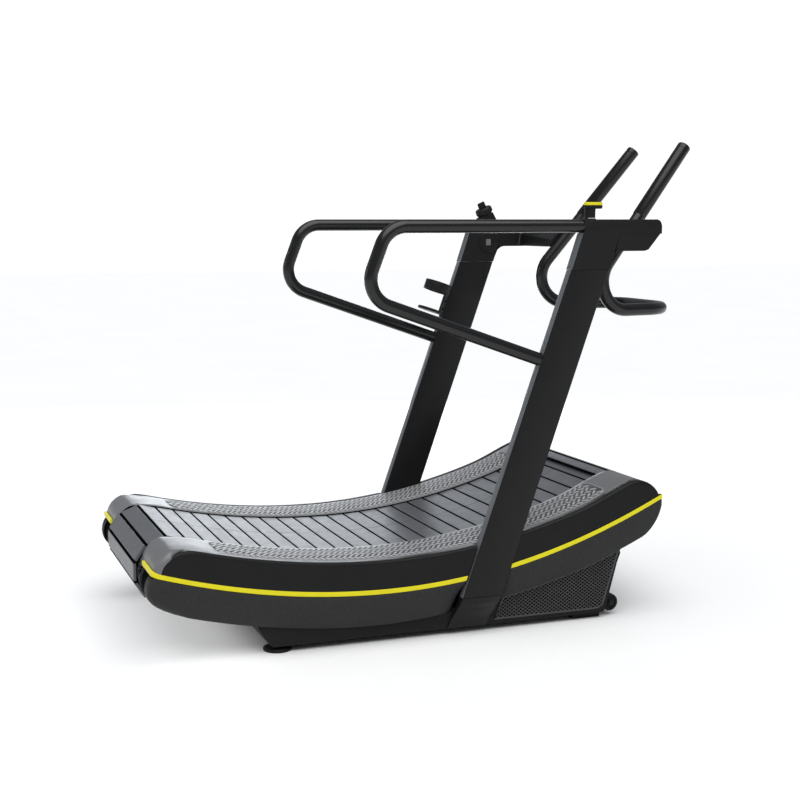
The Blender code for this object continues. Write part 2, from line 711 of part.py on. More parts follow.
def base_tray():
    """Sheet tray: bottom with the slanted rear and front walls, and the ears of the transport wheels."""
    t = TRAY
    out = [(-0.632, 0.0860), (-0.594, 0.0270), (BASE_REAR_X, BASE_LOW), (0.5200, BASE_LOW), (0.5240, 0.0240),
           (0.597, 0.2140)]
    inn = [(0.5937, 0.2140), (0.5212, 0.0255), (0.5190, BASE_LOW + t), (BASE_REAR_X + 0.001, BASE_LOW + t),
           (-0.5912, 0.0285), (-0.6287, 0.0860)]
    tray = prism("base_tray", out + inn, -SKIRT_IN + GAP, SKIRT_IN - GAP, DARK())
    ears = []
    for side in (1, -1):
        a, b = both(0.3560, 0.3640, side)
        ears.append(prism("wheel_ear_%d" % side, [(0.514, 0.0205), (0.578, 0.0260), (0.584, 0.0340), (0.584, 0.0560),
                                                  (0.576, 0.0640), (0.5380, 0.0660), (0.5275, 0.0380), (0.5195, 0.0222)], a, b, DARK()))
    combine(tray, ears)
    holes = []
    for side in (1, -1):
        a, b = both(0.35, 0.37, side)
        holes.append(rod("ear_hole_%d" % side, (WHEEL_X, a, WHEEL_Z), (WHEEL_X, b, WHEEL_Z), 0.0056, DARK(), 12))
        holes.append(rod("stem_hole_%d" % side, (FOOT_X, side * FOOT_Y, 0.0), (FOOT_X, side * FOOT_Y, 0.04),
                         FOOT_STEM + 0.0006, DARK(), 12))
    combine(tray, holes, "DIFFERENCE")
    return tray


base_tray()

for word, side in (("left", 1), ("right", -1)):
    a, b = both(SKIRT_IN, SKIRT_OUT, side)
    top_line = [(x, pod_bottom(x) + (0.014 if x > 0.12 or x < -0.10 else -0.0012))
                for x in (0.598, 0.500, 0.400, 0.300, 0.200, 0.135, 0.118, 0.030, -0.040, -0.090, -0.115, -0.200, -0.300,
                          -0.420, -0.530, -0.640)]
    prism("base_skirt_" + word,
          [(-0.594, 0.0270), (BASE_REAR_X, BASE_LOW), (BASE_FRONT_X, BASE_LOW), (0.538, 0.0240)] + top_line,
          a, b, DARK())
    # perforated sheet set over the front part of the skirt
    a, b = both(SKIRT_OUT + GAP, SKIRT_OUT + 0.0030, side)
    line = [(x, pod_bottom(x) - 0.002) for x in spaced(0.588, 0.168, 6)]
    prism("grille_" + word, [(0.140, 0.0330), (0.500, 0.0330), (0.5350, 0.0450)] + line, a, b, GRILLE())
    # front pad and levelling foot
    a, b = both(0.3560, 0.4000, side)
    prism("front_pad_" + word, [(0.4300, 0.0), (0.5300, 0.0), (0.5300, BASE_LOW - GAP), (0.4300, BASE_LOW - GAP)],
          a, b, RUBBER())
    lathe("levelling_foot_" + word,
          [(0, 0), (0.0440, 0), (0.0440, 0.0070), (0.0380, 0.0105), (FOOT_STEM, 0.0135), (FOOT_STEM, 0.0720),
           (0, 0.0720)], (FOOT_X, side * FOOT_Y, 0.0), (0, 0, 1), RUBBER(), 18)
    # transport wheel and its pin
    a, b = both(0.3690, 0.4030, side)
    lathe("transport_wheel_" + word,
          [(0.0056, a), (0.0270, a), (0.0285, a + 0.003), (0.0285, b - 0.003), (0.0270, b), (0.0056, b)],
          (WHEEL_X, 0, WHEEL_Z), (0, 1, 0), RUBBER(), 18)
    a, b = both(0.3480, 0.4080, side)
    rod("wheel_pin_" + word, (WHEEL_X, a, WHEEL_Z), (WHEEL_X, b, WHEEL_Z), 0.0050, STEEL(), 12)


# ---------------------------------------------------------------- uprights and their feet
def upright(name, side):
    low, high = both(UPRIGHT_IN, UPRIGHT_OUT, side)
    blade = prism(name, [(up_rear(UP_LOW), UP_LOW), (up_front(UP_LOW), UP_LOW), (up_front(UP_TOP), UP_TOP),
                         (up_rear(UP_TOP), UP_TOP)], low, high, COATED())
    bottom, top, wall = UP_LOW - 0.01, UP_TOP - 0.01, 0.005
    core = prism(name + "_hollow", [(up_rear(bottom) + wall, bottom), (up_front(bottom) - wall, bottom),
                                    (up_front(top) - wall, top), (up_rear(top) + wall, top)],
                 *both(UPRIGHT_IN + wall, UPRIGHT_OUT - wall, side), COATED())
    return combine(blade, [core], "DIFFERENCE")


def upright_foot(name, side):
    """Cast foot that steps in from the upright to the base."""
    top = UP_LOW - 0.0006
    rings = []
    for z, out, inn in ((0.0205, 0.4250, 0.4208 + GAP), (0.045, 0.4300, 0.4208 + GAP), (0.085, 0.4500, 0.4300),
                        (0.105, 0.4620, 0.4310), (top, UPRIGHT_OUT, UPRIGHT_IN)):
        rear, front = up_rear(z), up_front(z)
        rings.append([(rear, side * inn, z), (front, side * inn, z), (front, side * out, z), (rear, side * out, z)])
    return loft(name, rings, COATED(), smooth=40)


for word, side in (("left", 1), ("right", -1)):
    upright("upright_" + word, side)
    upright_foot("upright_foot_" + word, side)


# ---------------------------------------------------------------- heads and arms
def push_axis(z, side):
    return Vector((PUSH_X + PUSH_DX * (z - PUSH_Z), side * (PUSH_W + PUSH_DW * (z - PUSH_Z)), z))


def push_cutter(name, side, radius):
    return rod(name, push_axis(1.12, side), push_axis(1.40, side), radius, COATED(), 24)


def head(name, side):
    """Top casting: a flat cheek on the upright with a rail on top that carries the handrail on forward."""
    low, high = both(HEAD_IN, HEAD_OUT, side)
    foot = UP_TOP + 0.0008
    cheek = [(up_rear(foot), foot), (up_front(foot), foot), (0.5112, 1.1560), (0.5165, 1.1710), (0.5232, 1.1840),
             (0.5232, ARM_LOW), (0.5412, ARM_SPLIT), (ARM_FRONT, ARM_SPLIT), (ARM_FRONT, 1.2830), (0.6870, 1.2920),
             (0.6760, HEAD_TOP), (0.4165, HEAD_TOP), (0.4165, ARM_SPLIT), (0.4120, ARM_SPLIT)]
    made = prism(name, cheek, low, high, BLACK())
    if side < 0:
        part = rod(name + "_boss", (0.4440, -RAIL_Y, 1.2850), (0.4440, -RAIL_Y, 1.3010), 0.0185, BLACK(), 16)
    else:
        part = prism(name + "_dial_base", [(0.4480, 1.2900), (0.5140, 1.2900), (0.5140, 1.2990), (0.4990, 1.3250),
                                           (0.4560, 1.3050), (0.4480, 1.2990)], DIAL_Y - 0.0195, DIAL_Y + 0.0195,
                     BLACK())
    return combine(made, [part])


def arm_cover(name, side):
    """Lower part of the arm, and the gusset that turns inwards from it and takes the push bar in a saddle."""
    low, high = both(HEAD_IN + 0.001, HEAD_OUT - 0.001, side)
    top = ARM_SPLIT - 0.0006
    made = prism(name, [(0.5240, 1.1850), (0.5350, 1.1940), (0.5505, ARM_LOW), (0.6280, ARM_LOW), (0.6420, 1.2030),
                        (0.6880, top), (0.5422, top)], low, high, BLACK())
    root = [(0.6250, 1.1990), (0.6300, 1.1990), (0.6430, 1.2045), (0.6850, 1.2535), (0.6700, 1.2535), (0.6250, 1.2440)]
    tip = [(0.6400, 1.1990), (0.7010, 1.1990), (0.7080, 1.2060), (0.7680, 1.2830), (0.7000, 1.2830), (0.6400, 1.2237)]
    rings = [[(x, side * 0.4400, z) for x, z in root],
             [(x, side * (abs(push_axis(z, 1).y) + 0.0060), z) for x, z in tip]]
    combine(made, [loft(name + "_gusset", rings, BLACK())])
    return combine(made, [push_cutter(name + "_saddle", side, PUSH_R + 0.0004)], "DIFFERENCE")


for word, side in (("left", 1), ("right", -1)):
    head("head_" + word, side)
    arm_cover("arm_cover_" + word, side)


# ---------------------------------------------------------------- handrails
def handrail(name, side):
    y = side * RAIL_Y
    low_z = 1.0690
    slant = -LEAN
    start_x = -0.3064
    end = Vector((up_rear(0.0), y, 0.0))
    # where the lower run meets the rear face of the upright, square to it
    x = (low_z - slant * start_x + UP_REAR / LEAN) / (1 / LEAN - slant)
    z = low_z + slant * (x - start_x)
    square = Vector((1, 0, slant)).normalized()
    end = Vector((x, y, z)) - square * 0.0006
    path = rounded([(0.4160, y, RAIL_Z), (-0.2267, y, RAIL_Z), (start_x, y, low_z), end], [0.085, 0.085], 6)
    return tube(name, path, RAIL_R, COATED())


handrail("handrail_left", 1)
handrail("handrail_right", -1)


# ---------------------------------------------------------------- push bar and grips
def push_bar():
    corners = []
    tip = PUSH_TIP_Z - 0.004
    low = PUSH_LOW_Z
    foot = push_axis(low, 1)
    corners.append(push_axis(tip, -1))
    corners.append(Vector((foot.x, -foot.y, low)))
    corners.append(Vector((PUSH_FRONT_X, -PUSH_FRONT_W, low)))
    corners.append(Vector((PUSH_FRONT_X, PUSH_FRONT_W, low)))
    corners.append(Vector((foot.x, foot.y, low)))
    corners.append(push_axis(tip, 1))
    path = rounded(corners, [PUSH_BEND, PUSH_FRONT_R, PUSH_FRONT_R, PUSH_BEND], 7)
    return tube("push_bar", path, PUSH_R, COATED())


push_bar()

for word, side in (("left", 1), ("right", -1)):
    base, tip = push_axis(1.3080, side), push_axis(PUSH_TIP_Z, side)
    length = (tip - base).length
    inner = PUSH_R + 0.0004
    lathe("grip_" + word,
          [(inner, 0), (GRIP_R, 0), (GRIP_R, length - 0.006), (GRIP_R - 0.002, length - 0.0015),
           (GRIP_R - 0.006, length), (0, length), (0, length - 0.0035), (inner, length - 0.0035)],
          base, tip - base, RUBBER(), 20)


# ---------------------------------------------------------------- bottle holder
UPRIGHT_DIR = Vector((LEAN, 0, 1)).normalized()
BACKWARDS = Vector((-1, 0, LEAN)).normalized()


def bottle_holder():
    """Hoop and floor plate, held by a plate on the rear edge of the left upright and by a thin strut."""
    root = Vector((up_rear(1.0140), 0.4400, 1.0140))
    middle = Vector((0, 0.4140 - root.y, 0))

    def bar(name, low, high, near, far, half):
        """Straight bar along the upright, between two distances from its rear edge."""
        rings = []
        for along in (low, high):
            p = root + UPRIGHT_DIR * along
            a, b, w = p + BACKWARDS * near, p + BACKWARDS * far, Vector((0, half, 0))
            rings.append([a - w, a + w, b + w, b - w])
        return loft(name, rings, BLACK())

    hoop_c = root + BACKWARDS * 0.0600 + middle
    hoop = lathe("bottle_holder", [(0.0465, 0.0), (0.0500, 0.0), (0.0500, 0.0350), (0.0465, 0.0350)], hoop_c,
                 UPRIGHT_DIR, BLACK(), 20, origin=(0, 0, 0))
    plate = lathe("holder_plate", [(0, 0), (0.0480, 0), (0.0480, 0.0100), (0, 0.0100)], hoop_c - UPRIGHT_DIR * 0.0760,
                  UPRIGHT_DIR, BLACK(), 20, origin=(0, 0, 0))
    back = bar("holder_back", -0.0800, 0.0380, 0.0008, 0.0052, 0.0140)
    block = bar("holder_block", 0.0040, 0.0320, 0.0040, 0.0160, 0.0110)
    foot = bar("holder_foot", -0.0745, -0.0675, 0.0040, 0.0200, 0.0120)
    strut = bar("holder_strut", -0.0700, 0.0060, 0.0125, 0.0160, 0.0060)
    return combine(hoop, [plate, back, block, foot, strut])


bottle_holder()


# ---------------------------------------------------------------- selector knob and mode dial
KNOB_X, KNOB_Y = 0.4440, -RAIL_Y
KNOB_LOW = 1.3014


def selector_knob():
    """Stem with an oval paddle on top that reaches forward of the stem."""
    stem = lathe("selector_knob", [(0, 0), (0.0170, 0), (0.0170, 0.0315), (0, 0.0315)], (KNOB_X, KNOB_Y, KNOB_LOW),
                 (0, 0, 1), RUBBER(), 20)
    z = KNOB_LOW + 0.0290

    def oval(scale):
        return [(KNOB_X + 0.0107 + 0.0312 * scale * math.cos(t), KNOB_Y + 0.0198 * scale * math.sin(t))
                for t in spaced(0, math.tau, 24)[:-1]]

    rings = [[(x, y, zz) for x, y in oval(s)] for zz, s in ((z, 0.90), (z + 0.003, 1.0), (z + 0.011, 1.0))]
    paddle = loft("knob_paddle", rings, RUBBER())
    combine(stem, [paddle])
    rings = [[(x, y, zz) for x, y in oval(s)]
             for zz, s in ((z + 0.0114, 1.0), (z + 0.0175, 1.0), (z + 0.0205, 0.93))]
    loft("knob_cap", rings, YELLOW(), origin=(KNOB_X, KNOB_Y, z + 0.0114), smooth=40)


selector_knob()

DIAL_DIR = Vector((-0.42, 0, 0.9075)).normalized()


def mode_dial():
    """Round dial that leans towards the runner, with a lever blade across its top."""
    seat = Vector((0.4775, DIAL_Y, 1.3150)) + DIAL_DIR * 0.0025
    body = lathe("mode_dial", [(0, 0), (0.0270, 0), (0.0300, 0.0040), (0.0300, 0.0150), (0.0265, 0.0190), (0, 0.0190)],
                 seat, DIAL_DIR, BLACK(), 28)
    side = Vector((0, 1, 0))
    along = side.cross(DIAL_DIR).normalized()
    rings = []
    for h, wide in ((0.0150, 0.0135), (0.0440, 0.0115)):
        c = seat + DIAL_DIR * h
        rings.append([c + along * wide + side * 0.004, c - along * wide + side * 0.004,
                      c - along * wide - side * 0.004, c + along * wide - side * 0.004])
    blade = loft("dial_blade", rings, BLACK())
    combine(body, [blade])
    return seat


mode_dial()

for obj in bpy.context.scene.objects:
    obj.location.x += CENTRE
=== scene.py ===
"""Looks of the curved manual treadmill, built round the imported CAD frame.

Everything is in metres: +X is the way the runner faces, +Y the runner's left, +Z up.  Shapes are laid out in the
same design coordinates as the CAD, and place() moves them by CX into the frame.
"""
import math

import bmesh
import bpy
from mathutils import Matrix, Vector


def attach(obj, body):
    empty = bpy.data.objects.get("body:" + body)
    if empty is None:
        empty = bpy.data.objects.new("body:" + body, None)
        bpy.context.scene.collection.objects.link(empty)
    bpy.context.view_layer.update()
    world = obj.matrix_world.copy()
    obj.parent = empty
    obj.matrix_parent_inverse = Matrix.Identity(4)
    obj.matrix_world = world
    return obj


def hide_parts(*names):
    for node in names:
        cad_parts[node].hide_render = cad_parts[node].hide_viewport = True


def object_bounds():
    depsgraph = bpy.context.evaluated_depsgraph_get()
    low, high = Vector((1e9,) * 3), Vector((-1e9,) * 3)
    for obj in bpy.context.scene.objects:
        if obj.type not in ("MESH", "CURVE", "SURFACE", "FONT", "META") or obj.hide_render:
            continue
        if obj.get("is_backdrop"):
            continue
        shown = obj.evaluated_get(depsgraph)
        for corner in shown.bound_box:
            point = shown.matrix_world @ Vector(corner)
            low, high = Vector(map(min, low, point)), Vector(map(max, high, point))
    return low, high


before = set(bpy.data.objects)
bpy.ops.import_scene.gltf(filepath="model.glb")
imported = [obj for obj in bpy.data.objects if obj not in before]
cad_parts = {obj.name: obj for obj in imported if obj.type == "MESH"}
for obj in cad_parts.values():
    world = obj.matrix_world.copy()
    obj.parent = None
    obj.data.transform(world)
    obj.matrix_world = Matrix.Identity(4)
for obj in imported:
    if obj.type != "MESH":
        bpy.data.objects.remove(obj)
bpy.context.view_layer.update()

# ================================================================ dimensions shared with the CAD
CX = 0.00417
DECK_X, DECK_Z, DECK_REAR, DECK_FRONT = -0.230, 0.267, 0.2193, 0.2551
STRIP_DROP, STRIP_HEIGHT = 0.0963, 0.0152
POD_DROP, DROP_WAIST, DROP_FRONT = 0.2105, -0.0100, 0.0085
FRONT_RISE = 0.0104
REAR_END = (-0.8632, 0.2769, 0.0830, 0.0766)
FRONT_END = (0.6300, 0.3660, 0.0912, 0.0912)
REAR_TANGENT, FRONT_TANGENT = -0.8450, 0.5945
BELT_HALF, BELT_THICK = 0.2458, 0.013
RAIL_IN, RAIL_OUT = 0.2535, 0.4290
FLANGE_IN, PANEL_OUT, PANEL_FOOT = 0.4294, 0.4606, 0.4320
UPRIGHT_IN, UPRIGHT_OUT = 0.4295, 0.4658
HEAD_IN, HEAD_OUT = 0.4275, 0.4678
SKIRT_IN, SKIRT_OUT = 0.4145, 0.4205
LEAN, UP_REAR, UP_FRONT, UP_LOW, UP_TOP = 0.353, -0.0289, 0.1040, 0.1245, 1.1410
RAIL_Y, RAIL_R, RAIL_Z, HEAD_TOP = 0.4476, 0.0204, 1.2772, 1.2976
ARM_FRONT, ARM_SPLIT, ARM_LOW = 0.6914, 1.2555, 1.1985
PUSH_R, GRIP_R = 0.0212, 0.0228
PUSH_X, PUSH_Z, PUSH_W, PUSH_DX, PUSH_DW = 0.7209, 1.2627, 0.2114, 0.8016, -0.1399
PUSH_TIP_Z, PUSH_LOW_Z, PUSH_BEND, PUSH_FRONT_X, PUSH_FRONT_W, PUSH_FRONT_R = 1.5465, 0.9952, 0.0965, 0.8990, 0.190, 0.115
BASE_LOW, BASE_REAR_X, BASE_FRONT_X = 0.0197, -0.585, 0.530
WHEEL_X, WHEEL_Z = 0.5670, 0.0440
FOOT_X, FOOT_Y = -0.5610, 0.3780
REAR_T, FRONT_T, REAR_BELT_R, FRONT_BELT_R = -0.8363, 0.5790, 0.1087, 0.0800
DIAL_Y = 0.4376


# ================================================================ materials
def surface(name, colour, spread=0.12, patch=14.0, rough=0.45, rough_spread=0.08, grain=420.0, bump=0.2,
            depth=0.0003, metallic=0.0, specular=0.5, stretch=(1, 1, 1), speckle=None, streak=None, coat=0.0,
            coat_rough=0.12):
    """Procedural finish: patchy colour, fine speckle or streaks, uneven gloss and a fine surface grain."""
    made = bpy.data.materials.new(name)
    made.use_nodes = True
    tree = made.node_tree
    new, link = tree.nodes.new, tree.links.new
    shader = tree.nodes["Principled BSDF"]
    shader.inputs["Metallic"].default_value = metallic
    shader.inputs["Specular IOR Level"].default_value = specular
    shader.inputs["Coat Weight"].default_value = coat
    shader.inputs["Coat Roughness"].default_value = coat_rough
    where = new("ShaderNodeTexCoord")
    mapping = new("ShaderNodeMapping")
    mapping.inputs["Scale"].default_value = stretch
    link(where.outputs["Object"], mapping.inputs["Vector"])

    def noise(scale, detail=3.0, source=None):
        node = new("ShaderNodeTexNoise")
        node.inputs["Scale"].default_value = scale
        node.inputs["Detail"].default_value = detail
        node.inputs["Roughness"].default_value = 0.6
        link((source or mapping).outputs[0 if source is None else "Vector"], node.inputs["Vector"])
        return node

    def ramp(source, low, high, stops):
        node = new("ShaderNodeValToRGB")
        node.color_ramp.elements[0].position, node.color_ramp.elements[1].position = low, high
        node.color_ramp.elements[0].color = (*stops[0], 1.0)
        node.color_ramp.elements[1].color = (*stops[1], 1.0)
        link(source.outputs["Fac"], node.inputs["Fac"])
        return node

    shade = lambda k: tuple(min(1.0, c * k) for c in colour)
    tone = ramp(noise(patch, 4.0), 0.32, 0.68, (shade(1 - spread), shade(1 + spread)))
    last = tone.outputs["Color"]
    if speckle:
        scale, low_colour, high_colour, share = speckle
        dots = ramp(noise(scale, 2.0), 0.40, 0.60, (low_colour, high_colour))
        mix = new("ShaderNodeMix")
        mix.data_type = "RGBA"
        mix.inputs["Factor"].default_value = share
        link(last, mix.inputs["A"])
        link(dots.outputs["Color"], mix.inputs["B"])
        last = mix.outputs["Result"]
    if streak:
        scale, squeeze, share = streak
        lines_map = new("ShaderNodeMapping")
        lines_map.inputs["Scale"].default_value = squeeze
        link(where.outputs["Object"], lines_map.inputs["Vector"])
        lines = noise(scale, 3.0, lines_map)
        lines_ramp = ramp(lines, 0.35, 0.65, (shade(0.72), shade(1.34)))
        mix = new("ShaderNodeMix")
        mix.data_type = "RGBA"
        mix.inputs["Factor"].default_value = share
        link(last, mix.inputs["A"])
        link(lines_ramp.outputs["Color"], mix.inputs["B"])
        last = mix.outputs["Result"]
    link(last, shader.inputs["Base Color"])
    gloss = new("ShaderNodeMapRange")
    gloss.inputs["From Min"].default_value, gloss.inputs["From Max"].default_value = 0.3, 0.7
    gloss.inputs["To Min"].default_value = max(0.05, rough - rough_spread)
    gloss.inputs["To Max"].default_value = min(1.0, rough + rough_spread)
    link(noise(patch * 4.3, 4.0).outputs["Fac"], gloss.inputs["Value"])
    link(gloss.outputs["Result"], shader.inputs["Roughness"])
    bumps = new("ShaderNodeBump")
    bumps.inputs["Strength"].default_value = bump
    bumps.inputs["Distance"].default_value = depth
    link(noise(grain, 3.0).outputs["Fac"], bumps.inputs["Height"])
    link(bumps.outputs["Normal"], shader.inputs["Normal"])
    return made


SLAT = surface("slat_rubber", (0.086, 0.090, 0.100), 0.08, 9.0, 0.40, 0.05, 420.0, 0.16, 0.0002, specular=0.60,
               speckle=(430.0, (0.064, 0.067, 0.076), (0.116, 0.121, 0.134), 0.45), streak=(40.0, (14, 1, 1), 0.12))
SILVER = surface("silver_grey_plastic", (0.130, 0.132, 0.138), 0.05, 7.0, 0.36, 0.04, 600.0, 0.12, 0.00015, specular=0.60,
                 speckle=(520.0, (0.112, 0.114, 0.119), (0.160, 0.162, 0.168), 0.25))
FIELD = surface("tread_field_plastic", (0.060, 0.061, 0.064), 0.08, 15.0, 0.55, 0.05, 500.0, 0.25, 0.0003, specular=0.35,
                speckle=(500.0, (0.045, 0.046, 0.048), (0.080, 0.081, 0.085), 0.35))
TREAD = surface("tread_lozenge_plastic", (0.330, 0.334, 0.345), 0.06, 20.0, 0.40, 0.05, 500.0, 0.12, 0.00015, specular=0.60,
                speckle=(500.0, (0.28, 0.283, 0.29), (0.38, 0.384, 0.395), 0.25))
BLACK = surface("satin_black_panel", (0.0080, 0.0080, 0.0084), 0.12, 9.0, 0.38, 0.05, 700.0, 0.10, 0.0001, specular=0.15,
                speckle=(700.0, (0.0065, 0.0065, 0.007), (0.0140, 0.0140, 0.0146), 0.30))
DARK = surface("dark_grey_panel", (0.0255, 0.0255, 0.0262), 0.08, 10.0, 0.60, 0.05, 500.0, 0.16, 0.0002, specular=0.16,
               speckle=(420.0, (0.020, 0.020, 0.0206), (0.038, 0.038, 0.039), 0.40), streak=(30.0, (11, 11, 0.6), 0.40))
YELLOW = surface("yellow_trim", (0.730, 0.650, 0.010), 0.04, 22.0, 0.38, 0.05, 400.0, 0.06, 0.0001, specular=0.25)
COATED = surface("black_powder_coat", (0.0085, 0.0085, 0.0091), 0.12, 16.0, 0.36, 0.05, 800.0, 0.14, 0.0001,
                 specular=0.20, speckle=(800.0, (0.006, 0.006, 0.0065), (0.0150, 0.0150, 0.0158), 0.30))
TUBE = surface("black_tube_coat", (0.0050, 0.0050, 0.0056), 0.12, 16.0, 0.22, 0.03, 700.0, 0.02, 0.0001,
               specular=0.45, speckle=(700.0, (0.004, 0.004, 0.0045), (0.0070, 0.0070, 0.0076), 0.30))
EDGE = surface("upright_edge_grey", (0.120, 0.128, 0.138), 0.10, 12.0, 0.42, 0.05, 500.0, 0.12, 0.0001, specular=0.35,
               streak=(50.0, (10, 10, 1), 0.25))
FRAME = surface("grey_frame_paint", (0.030, 0.031, 0.033), 0.14, 12.0, 0.50, 0.08, 500.0, 0.20, 0.0002, metallic=0.1,
                specular=0.2, speckle=(500.0, (0.02, 0.02, 0.021), (0.045, 0.046, 0.048), 0.3))
BASE = surface("base_powder_coat", (0.0098, 0.0098, 0.0103), 0.12, 11.0, 0.52, 0.06, 600.0, 0.20, 0.0002, specular=0.14,
               speckle=(600.0, (0.007, 0.007, 0.0073), (0.0155, 0.0155, 0.016), 0.35))
MESH = surface("black_mesh_sheet", (0.060, 0.060, 0.062), 0.15, 20.0, 0.40, 0.06, 700.0, 0.15, 0.0001, metallic=0.2,
               specular=0.30, speckle=(700.0, (0.040, 0.040, 0.041), (0.080, 0.080, 0.083), 0.3))
STEEL = surface("turned_steel", (0.52, 0.525, 0.53), 0.10, 20.0, 0.28, 0.08, 400.0, 0.15, 0.0002, metallic=1.0,
                streak=(80.0, (1, 14, 1), 0.35))
ALLOY = surface("cast_aluminium", (0.42, 0.425, 0.43), 0.12, 30.0, 0.42, 0.08, 300.0, 0.35, 0.0004, metallic=1.0)
RUBBER = surface("black_rubber", (0.0080, 0.0080, 0.0082), 0.15, 24.0, 0.55, 0.06, 520.0, 0.16, 0.0002, specular=0.16,
                 speckle=(560.0, (0.006, 0.006, 0.006), (0.0130, 0.0130, 0.0134), 0.35))
GRIP = surface("grip_rubber", (0.0045, 0.0045, 0.0050), 0.12, 24.0, 0.26, 0.03, 480.0, 0.02, 0.0001, specular=0.40,
               speckle=(480.0, (0.0035, 0.0035, 0.0038), (0.0062, 0.0062, 0.0066), 0.35))
PLASTIC = surface("black_moulded_plastic", (0.0090, 0.0090, 0.0096), 0.12, 12.0, 0.42, 0.05, 600.0, 0.14, 0.00015,
                  specular=0.20, speckle=(620.0, (0.0065, 0.0065, 0.007), (0.0150, 0.0150, 0.0156), 0.35))
PLATE = surface("blank_grey_plate", (0.16, 0.16, 0.165), 0.10, 60.0, 0.45, 0.05, 500.0, 0.10, 0.0001, metallic=0.2)
# painted shade: a near-black, almost unreflective finish for parts and filler pieces that stand for the shade in gaps,
# joints and recesses
PAINTED_SHADE = surface("painted_shade_black", (0.0022, 0.0022, 0.0022), 0.2, 30.0, 0.90, 0.05, 400.0, 0.1, 0.0001, specular=0.02)

# finishes of the CAD nodes that stay as they are
CARRIED = {"rear_drum": STEEL, "front_drum": STEEL, "rear_axle": FRAME, "front_axle": STEEL, "brake_disc": STEEL,
           "brake_axle": STEEL, "yoke_pivot_pin": STEEL, "wheel_pin_left": STEEL, "wheel_pin_right": STEEL,
           "front_pulley": ALLOY, "magnet_yoke": ALLOY, "drive_belt": RUBBER, "side_frame_left": FRAME,
           "side_frame_right": FRAME, "base_frame": FRAME, "base_tray": BASE, "base_skirt_left": BASE,
           "base_skirt_right": BASE}
for node_name, finish in CARRIED.items():
    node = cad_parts[node_name]
    node.data.materials.clear()
    node.data.materials.append(finish)
    # painted shade: the side frames take the near-black shade finish, which stands for the shadowed gap between the
    # belt and the rails
    if node_name.startswith("side_frame"):
        node.data.materials[0] = PAINTED_SHADE


# ================================================================ tools
def place(bm, name, mat, body="machine_frame", stands_for=(), smooth=38, bevel=0.0, segments=3, extra=()):
    """Turn a bmesh in design coordinates into a piece that rides on a body."""
    bmesh.ops.remove_doubles(bm, verts=bm.verts, dist=1e-6)
    bmesh.ops.recalc_face_normals(bm, faces=bm.faces)
    bmesh.ops.translate(bm, verts=bm.verts, vec=(CX, 0, 0))
    mesh = bpy.data.meshes.new(name)
    bm.to_mesh(mesh)
    bm.free()
    obj = bpy.data.objects.new(name, mesh)
    bpy.context.scene.collection.objects.link(obj)
    mesh.materials.append(mat)
    for other in extra:
        mesh.materials.append(other)
    mesh.shade_smooth()
    mesh.set_sharp_from_angle(angle=math.radians(smooth))
    if bevel:
        soft = obj.modifiers.new("soft_edges", "BEVEL")
        soft.width = bevel
        soft.segments = segments
        soft.limit_method = "ANGLE"
        soft.angle_limit = math.radians(32)
        soft.harden_normals = True
    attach(obj, body)
    if stands_for:
        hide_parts(*([stands_for] if isinstance(stands_for, str) else stands_for))
    return obj


def ease(t):
    t = min(1.0, max(0.0, t))
    return t * t * (3 - 2 * t)


def spaced(a, b, n):
    return [a + (b - a) * i / n for i in range(n + 1)]


def both(low, high, side):
    return (low, high) if side > 0 else (-high, -low)


def add_prism(bm, outline, low, high, axis="Y"):
    """Extrude a closed outline: (x, z) for Y, (x, y) for Z, (y, z) for X."""
    def at(a, b, c):
        return {"Y": (a, c, b), "Z": (a, b, c), "X": (c, a, b)}[axis]
    one = [bm.verts.new(at(a, b, low)) for a, b in outline]
    two = [bm.verts.new(at(a, b, high)) for a, b in outline]
    n = len(outline)
    for i in range(n):
        j = (i + 1) % n
        bm.faces.new((one[i], one[j], two[j], two[i]))
    return [bm.faces.new(list(reversed(one))), bm.faces.new(two)]


def add_loft(bm, rings, closed=False, caps=True, around=True):
    """Join rings of equal length.  around=False leaves each ring open, which makes a sheet."""
    made = [[bm.verts.new(p) for p in ring] for ring in rings]
    count = len(made)
    for i in range(count if closed else count - 1):
        a, b = made[i], made[(i + 1) % count]
        for j in range(len(a) if around else len(a) - 1):
            k = (j + 1) % len(a)
            bm.faces.new((a[j], a[k], b[k], b[j]))
    if not closed and caps and around:
        bm.faces.new(list(reversed(made[0])))
        bm.faces.new(made[-1])
    return made


def frame_to(direction):
    return Vector((0, 0, 1)).rotation_difference(Vector(direction).normalized()).to_matrix().to_4x4()


def add_lathe(bm, profile, centre, direction, steps=48, closed=True):
    """Spin a (radius, height) profile about an axis."""
    turn = Matrix.Translation(Vector(centre)) @ frame_to(direction)
    rings = []
    for k in range(steps):
        t = math.tau * k / steps
        rings.append([turn @ Vector((r * math.cos(t), r * math.sin(t), h)) for r, h in profile])
    made = [[bm.verts.new(p) for p in ring] for ring in rings]
    n = len(profile)
    for i in range(steps):
        a, b = made[i], made[(i + 1) % steps]
        for j in range(n if closed else n - 1):
            k = (j + 1) % n
            if profile[j][0] < 1e-7 and profile[k][0] < 1e-7:
                continue
            corners = [a[j], a[k], b[k], b[j]]
            if profile[k][0] < 1e-7:
                corners = [a[j], a[k], b[j]]
            elif profile[j][0] < 1e-7:
                corners = [a[j], a[k], b[k]]
            bm.faces.new(corners)
    return made


